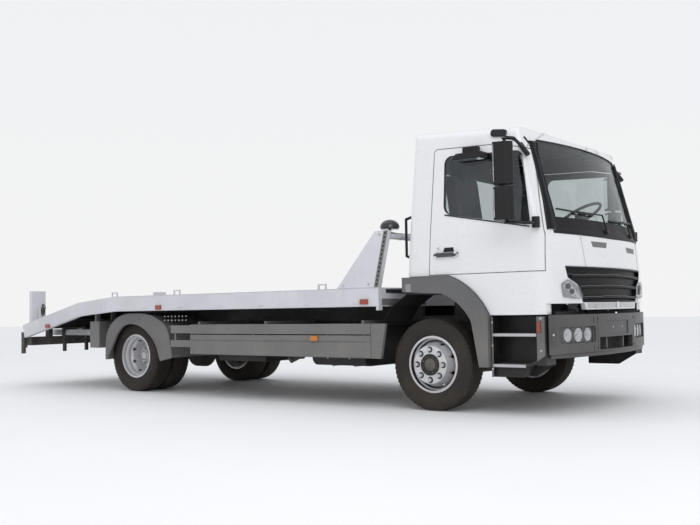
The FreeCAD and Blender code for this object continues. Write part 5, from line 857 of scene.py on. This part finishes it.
windowLine = rounded([(0.165, 2.312), (0.934, 2.278), (1.03, 1.618), (0.165, 1.78)], [0.075, 0.06, 0.035, 0.095], 0.04)
rearLine = rounded(oblong(-0.56, 0.56, 2.25, 1.85), 0.06, 0.05)
band(cab("rubber"), paintSkin, rearLine, fromRear, 0.0, -0.02, sealLook["lift"])
for side, label in sides:
    leaf = "door_" + label + "_leaf"
    skin = skinOf("door_" + label)
    band(kit(leaf, "rubber"), skin, windowLine, fromSide[side], 0.001, 0.018, sealLook["lift"])
    patch(kit(leaf, "bumper"), skin, oblong(0.08, 0.32, 1.388, 1.428), fromSide[side], 0.0022, 8, 3, 0.016)
    # the hollow of the door grip is a flat near-black patch: painted shade
    grip = [(0.165, 1.434), (0.28, 1.434), (0.272, 1.474), (0.18, 1.474)]
    patch(kit(leaf, "shade"), skin, grip, fromSide[side], flush, 4, 2, 0.001)
    button(kit(leaf, "steel"), beside(skin, side, 0.115, 1.47)[0], (0, side, 0), 0.011, 0.003)
    waist = [(0.18, 1.765), (1.02, 1.604), (1.024, 1.614), (0.18, 1.777)]
    patch(kit(leaf, "rubber"), skin, waist, fromSide[side], 0.006, 12, 1, 0.004)
print("stage: seals")


# Wipers: pivot cap, bent arm, blade holder and rubber, all just off the glass
wiperLook = {"radius": 0.007}


def addWiper(pivot, elbow, first, last):
    blade = [ahead(glassOnly, *Vector(first).lerp(Vector(last), k / 8)) for k in range(9)]
    dark = cab("black")
    dark.tube([p + n * 0.016 for p, n in blade], wiperLook["radius"], 8)
    cab("rubber").tube([p + n * 0.006 for p, n in blade], 0.005, 6)
    (foot, footOut), (knee, kneeOut), (middle, out) = ahead(shell, *pivot), ahead(shell, *elbow), blade[4]
    dark.tube([foot + footOut * 0.02, knee + kneeOut * 0.03, middle + out * 0.022], 0.008, 8)
    button(dark, foot, footOut, 0.022, 0.032)


addWiper((-0.1, 1.6), (-0.13, 1.75), (-0.86, 1.768), (-0.3, 1.74))
addWiper((0.62, 1.6), (0.56, 1.71), (0.02, 1.712), (0.82, 1.742))

# Recessed grips under the sill, top moulding, slat edges, ribbed panel and the lamps beside the grille
for low, high, foot, top in ((-0.46, -0.11, 1.44, 1.54), (0.36, 0.74, 1.42, 1.532)):
    line = rounded([(low + 0.03, foot), (high - 0.03, foot), (high, top), (low, top)], 0.025, 0.03)
    band(cab("wheel"), paintSkin, line, fromFront, -0.004, 0.005, 0.0045)
    # the dark patch low in each grip stands for the recess's shade: painted shade
    corners = [(low + 0.045, foot + 0.012), (high - 0.045, foot + 0.012), (high - 0.02, foot + 0.062),
               (low + 0.02, foot + 0.062)]
    patch(cab("guard"), paintSkin, corners, fromFront, flush, 8, 2)
moulding = [(-0.86, 1.262), (0.86, 1.262), (0.865, 1.276), (-0.865, 1.276)]
patch(cab("wheel"), paintSkin, moulding, fromFront, 0.006, 40, 1)
grilleSkin = skinOf("grille")
# grey tubes along the front edges of the black slats: painted highlight where light catches the edges
for z, half in ((1.2, 0.83), (1.102, 0.67), (1.006, 0.62)):
    slat = []
    for k in range(25):
        hits = [ahead(grilleSkin, half * (k / 12 - 1), z + lift)[0] for lift in (-0.012, -0.006, 0.0, 0.006, 0.012)]
        hits = [p for p in hits if p is not None]
        if hits:
            slat.append(max(hits, key=lambda p: p.x) + Vector((0.0015, 0, 0)))
    cab("plastic").tube(slat, 0.0035, 6)
patch(cab("wheel"), paintSkin, oblong(-0.578, 0.578, 0.903, 0.972), fromFront, 0.004, 40, 2)
for k in range(5):
    rib = 0.912 + k * 0.013
    patch(cab("steel"), paintSkin, oblong(-0.57, 0.57, rib, rib + 0.004), fromFront, 0.008, 40, 1)
nose = ahead(paintSkin, 0, 0.935)[0]
cab("chrome").box((nose.x, -0.014, 0.908), (nose.x + 0.016, 0.014, 0.966))
for side, label in sides:
    corners = [(side * 0.665, 0.998), (side * 0.76, 0.998), (side * 0.915, 1.1), (side * 0.85, 1.15)]
    patch(cab("chrome"), paintSkin, corners, fromFront, 0.0015, 6, 6, 0.001)
    lamps = ((0.85, 1.1, 0.026, "shade"), (0.8, 1.055, 0.024, "shade"), (0.745, 1.015, 0.019, "chrome"))
    for y, z, size, look in lamps:
        place, out = ahead(paintSkin, side * y, z)
        if place is not None:
            button(cab(look), place, out, size, 0.016)
    for x, z in ((-0.13, 2.4), (-0.13, 1.42), (0.42, 1.24)):
        place = beside(paintSkin, side, x, z)[0]
        if place is not None:
            button(cab("cabPaint"), place, (0, side, 0), 0.012, 0.002)
print("stage: cab face")

# Headlamps: bowls, bulbs and dividers behind the clear lens; intake bars, blank plate screws and lip
bumperSkin = skinOf("bumper")
frontSkin = skinOf("bumper", "headlamps")
for side, label in sides:
    for y, size in ((0.575, 0.054), (0.72, 0.056), (0.87, 0.052)):
        place, out = ahead(frontSkin, side * y, 0.682)
        bowl = place - out * 0.022
        shine = [(0.0, 0.0), (size * 0.4, 0.0015), (size * 0.75, 0.007), (size, 0.016), (size + 0.004, 0.017)]
        truck("chrome").lathe(shine, bowl, out, 28)
        button(truck("bulb"), bowl, out, 0.012, 0.012, 14)
    for y, half in ((0.488, 0.014), (0.955, 0.018), (0.648, 0.004), (0.795, 0.004)):
        x = ahead(frontSkin, side * y, 0.682)[0].x
        truck("shade").box((x - 0.026, side * y - half, 0.616), (x - 0.001, side * y + half, 0.748))
    place, out = ahead(bumperSkin, side * 1.07, 0.69)
    if place is not None:
        button(truck("steel"), place, out, 0.01, 0.004, 14)
    line = rounded(oblong(side * 0.472, side * 0.975, 0.75, 0.614), 0.02, 0.05)
    band(truck("black"), frontSkin, line, fromFront, -0.004, 0.004, 0.0015)
    button(truck("steel"), ahead(bumperSkin, side * 0.11, 0.735)[0], (1, 0, 0), 0.008, 0.003, 12)
    for z in (0.815, 0.56):
        place, out = ahead(bumperSkin, side * 0.43, z)
        if place is not None:
            bolt(truck("black"), place, out, 0.012, 0.004)
    truck("bumper").box(spot(1.25, side * 0.186, 0.542), spot(1.293, side * 0.214, 0.648))
# Near-black sheets in the intake's opening, behind the bumper and under the cab's front: painted shade in these gaps
truck("shade").box(spot(1.2, -0.41, 0.525), spot(1.215, 0.41, 0.66))
for low, high in ((-1.0, -0.4), (-0.33, 0.33), (0.4, 1.0)):
    truck("shade").box(spot(1.165, low, 0.62), spot(1.175, high, 0.884))
cab("shade").box(spot(1.0, -0.9, 0.889), spot(1.12, 0.9, 0.8965))
patch(truck("black"), bumperSkin, oblong(-1.0, 1.0, 0.5215, 0.527), fromFront, 0.001, 40, 1, 0.001)
print("stage: bumper")

# Mirrors: glass, rims, pivots and cable; the left one is folded back a little
foldedTurn, foldedShift = Matrix.Rotation(math.radians(40), 3, "Z"), Vector((0, 0.0842, 0))
for side, label in sides:
    leaf = "door_" + label + "_leaf"
    turn, shift = (foldedTurn, foldedShift) if side > 0 else (Matrix.Identity(3), Vector())
    pivot = spot(0.96, 1.15 * side, 0)

    def hung(x, y, z):
        return pivot + turn @ (spot(x, side * y, z) - pivot) + shift

    for low, high in ((1.965, 2.3), (1.665, 1.92)):
        for look, inset, proud in (("rubber", 0.006, 0.003), ("mirror", 0.014, 0.0042)):
            face = [hung(0.838, y, z) for z in (low + inset, high - inset) for y in (1.293 + inset, 1.422 - inset)]
            back = turn @ Vector((-proud, 0, 0))
            ply(kit(leaf, look), face, [c + back for c in face], 2)
        rim = [hung(0.85, 1.4305, low + 0.01), hung(0.85, 1.4305, high - 0.01)]
        kit(leaf, "zinc").tube(rim, 0.0035, 6)
    kit(leaf, "rubber").tube([hung(0.925, 1.345, 2.335), hung(0.95, 1.28, 2.34), hung(0.955, 1.2, 2.33)], 0.005, 6)
    for z in (2.335, 1.625):
        button(kit(leaf, "black"), hung(0.92, 1.3575, z), (0, 0, 1), 0.024, 0.012)
kit("door_right_leaf", "mirror").box(spot(0.32, -1.19, 2.2395), spot(0.59, -1.1, 2.2408))
kit("door_right_leaf", "shade").box(spot(0.31, -1.1958, 2.246), spot(0.6, -1.1, 2.249))
print("stage: mirrors")

# Steps: bright treads, front edges and grey side faces
for side, label in sides:
    for x0, x1, z in ((0.642, 1.056, 0.7002), (0.642, 0.955, 0.4372)):
        truck("grip").box(spot(x0, side * 0.955, z), spot(x1, side * 1.138, z + 0.005))
        truck("steel").box(spot(x0, side * 1.1402, z - 0.02), spot(x1, side * 1.1425, z + 0.004))
        # dark discs for the holes in the treads: painted shade
        for k in range(9):
            for y in (1.0, 1.05, 1.1):
                hole = spot(x0 + 0.03 + k * (x1 - x0 - 0.06) / 8, side * y, z + 0.0053)
                truck("shade").lathe([(0.011, 0), (0.0, 0.0005)], hole, (0, 0, 1), 10)
    for outline in ([(1.061, 0.47), (1.136, 0.52), (1.136, 0.848), (1.061, 0.848)], oblong(0.634, 0.652, 0.335, 0.848)):
        truck("plastic").prism(sideView(outline), side * 1.1403, side * 1.1422)
    for x, z in ((0.643, 0.8), (0.643, 0.6), (0.643, 0.4), (1.1, 0.83), (1.1, 0.56)):
        bolt(truck("steel"), spot(x, side * 1.1422, z), (0, side, 0), 0.012, 0.005)
print("stage: steps")

# Fenders and mudguards: fixing bolts, a worn patch and the front member's stripes
fenderSkin = skinOf("front_fenders")
for side, label in sides:
    for x, z in ((-4.55, 0.8), (-4.0, 0.86)):
        bolt(truck("iron"), spot(x, side * 1.2, z), (0, side, 0), 0.013, 0.005)
    patch(truck("tape"), fenderSkin, oblong(-0.222, -0.162, 1.085, 1.158), fromSide[side], 0.001, 3, 3, 0.001)
    truck("guard").box(spot(-0.484, side * 1.2, 0.97), spot(-0.4765, side * 0.45, 1.03))
    truck("shade").box(spot(-0.484, side * 1.13, 1.085), spot(-0.4765, side * 0.5, 1.12))


# Rear mudguards again, with their bends rounded by cutting corners
guardLook = {"radius": 0.42, "outer": ((-0.986, 1.743), (-0.336, 2.224), (0.843, 2.212), (1.293, 2.06),
                                       (1.671, 1.848), (1.824, 1.39)),
             "inner": ((1.193, 1.429), (0.543, 1.914), (-0.302, 1.917), (-0.864, 1.036))}


def eased(points):
    for k in range(3):
        cut = [points[0]]
        for a, b in zip(points, points[1:]):
            cut += [a.lerp(b, 0.24), a.lerp(b, 0.76)]
        points = cut + [points[-1]]
    return points


def alongAxle(share):
    return Vector((share[0] * guardLook["radius"] - wheelBase + axleX, share[1] * guardLook["radius"]))


def atFoot(share, z):
    return Vector((alongAxle((share, 0)).x, z))


guardCover = Shape()
top = eased([atFoot(-1.007, 0.378)] + [alongAxle(s) for s in guardLook["outer"]] + [atFoot(1.867, 0.42)])
under = eased([atFoot(1.379, 0.378)] + [alongAxle(s) for s in guardLook["inner"]] + [atFoot(-0.886, 0.378)])
sheet = [p + (atFoot(0.3, 0.5) - p).normalized() * 0.005 for p in reversed(top)]
for side, label in sides:
    guardCover.prism(top + under, side * 1.17, side * 1.2)
    guardCover.prism(top + sheet, side * 0.555, side * 1.171)
    for share in ((-0.981, 1.75), (1.662, 1.829)):
        at = alongAxle(share)
        guardCover.rod((at.x, side * 0.43, at.y), (at.x, side * 1.16, at.y), 0.016, 16)
guardCover.build("rearMudguards", "chassis", finish["plastic"], "grey_plastic", 30, 0.002, ["rear_mudguards"])

# Frame rails: rivet heads in pairs, pipes and cable runs, and a row of zinc rivets
frameSkin = skinOf("ladder_frame")
for side, label in sides:
    for k in range(20):
        for z in (0.69, 0.82):
            place = onSkin(frameSkin, spot(0.85 - k * 0.29, side * 0.6, z), (0, -side, 0))[0]
            if place is not None and abs(abs(place.y) - 0.425) < 0.06:
                button(truck("frame"), place, (0, side, 0), 0.013, 0.007, 12)
    for radius, run in ((0.009, ((0.5, 0.8), (-1.5, 0.79), (-3.2, 0.8), (-4.0, 0.72))),
                        (0.006, ((0.1, 0.77), (-1.9, 0.765), (-3.0, 0.77)))):
        truck("rubber").tube([spot(x, side * 0.44, z) for x, z in run], radius, 8)
    for k in range(7):
        for z in (0.845, 0.89):
            rivet = spot(-3.2 - k * 0.06, side * 1.1902, z)
            truck("zinc").lathe([(0.009, 0), (0.008, 0.003), (0.0, 0.004)], rivet, (0, side, 0), 10)

# Tanks and battery box: straps, filler cap, lid, latches, drain
fuelStrap = ((0.5, 0.793), (1.03, 0.793), (1.085, 0.765), (1.113, 0.7), (1.113, 0.44), (1.085, 0.372), (1.03, 0.347),
             (0.5, 0.347))
airStrap = ((-0.5, 0.793), (-1.03, 0.793), (-1.113, 0.7), (-1.113, 0.46), (-1.03, 0.377), (-0.5, 0.377))
for places, radius, strap in (((-1.02, -1.6), 0.007, fuelStrap), ((-0.95, -1.22), 0.006, airStrap)):
    for x in places:
        truck("steel").tube([spot(x, y, z) for y, z in strap], radius, 6)
truck("black").lathe([(0.0, 0.035), (0.04, 0.035), (0.046, 0.028), (0.046, 0.0)], spot(-0.9, 0.98, 0.79), (0, 0, 1), 24)
truck("black").box(spot(-2.765, -1.118, 0.72), spot(-2.055, -0.465, 0.802))
for x in (-2.6, -2.22):
    truck("steel").box(spot(x - 0.02, -1.127, 0.66), spot(x + 0.02, -1.1105, 0.75))
    latch = ((-0.015, -1.13, 0.74), (-0.015, -1.134, 0.68), (0.015, -1.134, 0.68), (0.015, -1.13, 0.74))
    truck("steel").tube([spot(x + dx, y, z) for dx, y, z in latch], 0.003, 6)
pipe = ((-1.42, -0.7, 0.58), (-1.6, -0.7, 0.57), (-1.72, -0.85, 0.5), (-1.8, -1.02, 0.42))
truck("iron").tube([spot(*p) for p in pipe], 0.038, 16)
for x in (-2.3, -2.65):
    hoop = [(0.116, -0.012), (0.118, -0.01), (0.118, 0.01), (0.116, 0.012)]
    truck("steel").lathe(hoop, spot(x, 0.72, 0.56), (1, 0, 0), 28)
print("stage: chassis parts")

# Platform: wing strips with holes, bolts, rope hooks, weld beads, rear latches and lamp sections
for side, label in sides:
    strip = [(-0.486, 1.139), (-0.363, 1.662), (-0.41, 1.662), (-0.533, 1.139)]
    truck("guard").prism(sideView(strip), side * 1.2502, side * 1.2522)
    # dark discs for the strip's holes: painted shade
    for k in range(13):
        t = 0.05 + k * 0.0755
        hole = spot(-0.51 + 0.123 * t, side * 1.2524, 1.139 + 0.523 * t)
        truck("shade").lathe([(0.0105, 0.0), (0.0, 0.0004)], hole, (0, side, 0), 12)
    for x, z in ((-0.6, 1.17), (-0.9, 1.16), (-0.46, 1.63)):
        bolt(truck("zinc"), spot(x, side * 1.2501, z), (0, side, 0), 0.015, 0.007)
    for k in range(6):
        hook = ((-0.03, 1.2495, 1.0), (-0.03, 1.2515, 0.985), (0.03, 1.2515, 0.985), (0.03, 1.2495, 1.0))
        truck("deckPaint").tube([spot(-0.75 - k * 0.62 + dx, side * y, z) for dx, y, z in hook], 0.005, 6)
    for z in (1.132, 0.961):
        truck("deckPaint").tube([spot(-0.49, side * 1.2505, z), spot(-4.42, side * 1.2505, z)], 0.0025, 6)
    post = truck("iron")
    post.box(spot(-6.2665, side - 0.03, 0.94), spot(-6.25, side + 0.03, 1.03))
    post.rod(spot(-6.258, side, 0.92), spot(-6.258, side, 1.08), 0.009, 12)
    post.tube([spot(-6.255, side, 1.075), spot(-6.24, side * 0.985, 1.06), spot(-6.24, side * 0.97, 1.02)], 0.005, 8)
    for z in (0.955, 1.015):
        for y in (0.978, 1.022):
            truck("zinc").hexagon(spot(-6.25, side * y, z), (1, 0, 0), 0.009, 0.004)
    for y, look in ((0.96, "lensRed"), (1.03, "lensAmber"), (1.1, "lensClear")):
        truck(look).box(spot(-6.4145, side * y - 0.033, 0.545), spot(-6.411, side * y + 0.033, 0.625))
    truck("frame").box(spot(-6.412, side * 0.93, 0.536), spot(-6.368, side * 1.15, 0.541))
    bolt(truck("zinc"), spot(-6.3735, side * 0.22, 0.585), (-1, 0, 0), 0.01, 0.004)
truck("plate").box(spot(-6.3735, -0.26, 0.53), spot(-6.3685, 0.26, 0.64))

# Work lamp and its cable along the headboard
dome = Shape()
domeRise = [(0.0, 0.08), (0.012, 0.0798), (0.04, 0.074), (0.066, 0.06), (0.084, 0.04), (0.093, 0.018), (0.095, 0.0),
            (0.086, -0.001), (0.0855, -0.015), (0.0, -0.015)]
dome.lathe(domeRise, spot(-0.452, -1.09, 1.7), (0, 0, 1), 40)
dome.rod(spot(-0.452, -1.09, 1.655), spot(-0.452, -1.09, 1.7), 0.015, 16)
dome.build("workLampCap", "chassis", finish["gloss"], "black_plastic", 40, replaces=["work_lamp"])
cable = ((-0.452, -1.075, 1.66), (-0.44, -1.0, 1.653), (-0.437, -0.7, 1.654), (-0.437, -0.3, 1.654))
truck("rubber").tube([spot(*p) for p in cable], 0.005, 6)
for y in (-0.95, -0.6, -0.25):
    truck("rubber").lathe([(0.031, -0.004), (0.033, 0.0), (0.031, 0.004)], spot(-0.437, y, 1.622), (0, 1, 0), 20)
print("stage: platform")

# Winch: rope laid in turns round the drum, cheek bolts
winchLook = {"turns": 40, "x": -0.67, "z": 1.28, "coil": 0.094, "half": 0.238, "rope": 0.006}
axis = spot(winchLook["x"], 0, winchLook["z"])
count = winchLook["turns"] * 20
wire = [around(axis, winchLook["coil"], k / 20, winchLook["half"] * (2 * k / count - 1)) for k in range(count)]
kit("winch_rope_drum", "rope").tube(wire, winchLook["rope"], 6)
for side, label in sides:
    boltRing(truck("zinc"), axis, side, 0.2762, 6, 0.055, 0.012, 0.006)
print("stage: winch")

# Cab inside: instrument hood, vents, gear lever, visors
cab("shade").prism(sideView([(0.83, 1.62), (0.86, 1.72), (0.98, 1.73), (0.98, 1.64)]), 0.42, 0.8)
for y in (-0.78, -0.35, 0.1, 0.9):
    cab("shade").box(spot(0.796, y - 0.07, 1.53), spot(0.803, y + 0.07, 1.585))
cab("black").tube([spot(0.62, 0.22, 1.47), spot(0.63, 0.22, 1.62), spot(0.66, 0.23, 1.74)], 0.012, 10)
knob = [(0.0, 0.03), (0.02, 0.022), (0.028, 0.0), (0.02, -0.022), (0.0, -0.028)]
cab("black").lathe(knob, spot(0.66, 0.23, 1.76), (0, 0, 1), 20)
for y in (-0.55, 0.55):
    cab("lining").box(spot(0.8, y - 0.24, 2.395), spot(0.93, y + 0.24, 2.407), Matrix.Rotation(math.radians(24), 3, "Y"))
print("stage: cab inside")

for (body, look), shape in kits.items():
    shape.build("detail_" + body + "_" + look, body, finish[look], slotFor[look])
print("stage: details built", len(kits))


# Seats: the cushions swollen by a short cloth run, held close to the shape of their solids
padLook = {"voxel": 0.009, "pressure": 4.0, "frames": 20, "reach": 0.018, "start": 0.965, "channel": 0.07,
           "channelDeep": 0.006}


def freshMesh(obj):
    mesh = bpy.data.meshes.new_from_object(obj.evaluated_get(bpy.context.evaluated_depsgraph_get()))
    obj.modifiers.clear()
    obj.data = mesh
    return mesh


def islands(mesh):
    group = list(range(len(mesh.vertices)))

    def root(i):
        while group[i] != i:
            group[i] = group[group[i]]
            i = group[i]
        return i
    for edge in mesh.edges:
        group[root(edge.vertices[0])] = root(edge.vertices[1])
    found = {}
    for i in range(len(group)):
        found.setdefault(root(i), []).append(i)
    return list(found.values())


pads = bpy.data.objects.new("seatPads", nodes["seat_cushions"].data.copy())
bpy.context.scene.collection.objects.link(pads)
for part in islands(pads.data):
    middle = sum((pads.data.vertices[i].co for i in part), Vector()) / len(part)
    for i in part:
        vertex = pads.data.vertices[i]
        vertex.co = middle + (vertex.co - middle) * padLook["start"]
even = pads.modifiers.new("even", "REMESH")
even.mode = "VOXEL"
even.voxel_size = padLook["voxel"]
freshMesh(pads)
before = [v.co.copy() for v in pads.data.vertices]
cloth = pads.modifiers.new("swell", "CLOTH")
cloth.settings.use_pressure = True
cloth.settings.uniform_pressure_force = padLook["pressure"]
cloth.settings.effector_weights.gravity = 0
cloth.settings.quality = 4
cloth.point_cache.frame_start = 1
cloth.point_cache.frame_end = padLook["frames"]
for k in range(1, padLook["frames"] + 1):
    bpy.context.scene.frame_set(k)
freshMesh(pads)
bpy.context.scene.frame_set(1)
for vertex, old in zip(pads.data.vertices, before):
    move = vertex.co - old
    if move.length > padLook["reach"]:
        vertex.co = old + move.normalized() * padLook["reach"]
smooth = pads.modifiers.new("finer", "SUBSURF")
smooth.levels = 1
smooth.render_levels = 1
freshMesh(pads)
pads.data.shade_smooth()
seatMiddle, sewnHalf = 0.6, 0.17  # the seats' middles, and how far the channels reach from them
outward = [vertex.normal.copy() for vertex in pads.data.vertices]
for vertex, normal in zip(pads.data.vertices, outward):
    across = abs(abs(vertex.co.y) - seatMiddle)
    wave = abs((across / padLook["channel"]) % 1.0 - 0.5) * 2
    if across < sewnHalf:
        vertex.co -= normal * padLook["channelDeep"] * max(0.0, wave - 0.72) / 0.28  # sewn channels are narrow
pads.data.materials.clear()
pads.data.materials.append(finish["cloth"])
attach(pads, "cab")
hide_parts("seat_cushions")
print("stage: seats", len(pads.data.vertices))


# Studio: pale floor, soft lamps, the photograph's own view
camera = {"place": (4.404 + axleX, -8.014, 0.93), "yaw": 0.657, "pitch": 0.053, "roll": -0.017, "lens": 45.87}
studio = {"sky": 0.9, "key": 150.0, "rim": 60.0, "floor": (0.93, 0.93, 0.93)}


def makeFloor():
    bpy.ops.mesh.primitive_plane_add(size=120, location=(0, 0, 0))
    floor = bpy.context.active_object
    floor.name = "studioFloor"
    made, tree = emptyMaterial("floor")
    place = placeOf(tree)
    duller = [c * 0.985 for c in studio["floor"]]
    shade = blendColour(tree, ramp(tree, noise(tree, place, 0.6, 3.0), 0.3, 0.7), duller, studio["floor"])
    look = {"Base Color": shade, "Roughness": 0.65, "Specular IOR Level": 0.25}
    shader = step(tree, "ShaderNodeBsdfPrincipled", None, look)
    step(tree, "ShaderNodeOutputMaterial", None, {0: shader.outputs[0]})
    floor.data.materials.append(made)
    floor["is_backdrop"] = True


def makeLamp(name, place, target, size, power, colour=(1, 1, 1)):
    data = bpy.data.lights.new(name, "AREA")
    data.shape = "RECTANGLE"
    data.size, data.size_y = size
    data.energy = power
    data.color = colour
    lamp = bpy.data.objects.new(name, data)
    lamp.location = place
    lamp.rotation_mode = "QUATERNION"
    lamp.rotation_quaternion = (Vector(target) - Vector(place)).to_track_quat("-Z", "Y")
    bpy.context.scene.collection.objects.link(lamp)


def makeWorld():
    world = bpy.data.worlds.new("studio")
    world.use_nodes = True
    tree = world.node_tree
    tree.nodes.clear()
    height = partsOf(tree, step(tree, "ShaderNodeTexCoord").outputs["Generated"])["Z"]
    colour = blendColour(tree, ramp(tree, height, -0.05, 0.7), (1.0, 1.0, 1.0), (0.94, 0.96, 1.0))
    back = step(tree, "ShaderNodeBackground", None, {"Color": colour, "Strength": studio["sky"]})
    step(tree, "ShaderNodeOutputWorld", None, {0: back.outputs[0]})
    bpy.context.scene.world = world


def makeCamera():
    data = bpy.data.cameras.new("view")
    data.sensor_width = 36.0  # millimetres
    data.lens = camera["lens"]
    data.clip_end = 200
    eye = bpy.data.objects.new("view", data)
    yaw, pitch, roll = camera["yaw"], camera["pitch"], camera["roll"]
    ahead = Vector((-math.sin(yaw) * math.cos(pitch), math.cos(yaw) * math.cos(pitch), math.sin(pitch)))
    right = Vector((math.cos(yaw), math.sin(yaw), 0))
    up = right.cross(ahead)
    rolled = right * math.cos(roll) + up * math.sin(roll)
    top = -right * math.sin(roll) + up * math.cos(roll)
    turn = Matrix((rolled, top, -ahead)).transposed()
    eye.matrix_world = Matrix.Translation(camera["place"]) @ turn.to_4x4()
    bpy.context.scene.collection.objects.link(eye)
    bpy.context.scene.camera = eye


makeFloor()
makeWorld()
makeCamera()
makeLamp("keyLamp", spot(5.0, -7.0, 6.5), spot(-1.0, 0, 0.8), (5.0, 4.0), studio["key"])
makeLamp("topLamp", spot(-2.0, -2.0, 8.0), spot(-2.0, 0, 0.8), (9.0, 4.0), studio["rim"], (0.95, 0.97, 1.0))
bpy.context.scene.view_settings.view_transform = "Standard"
print("stage: studio")

low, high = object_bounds()
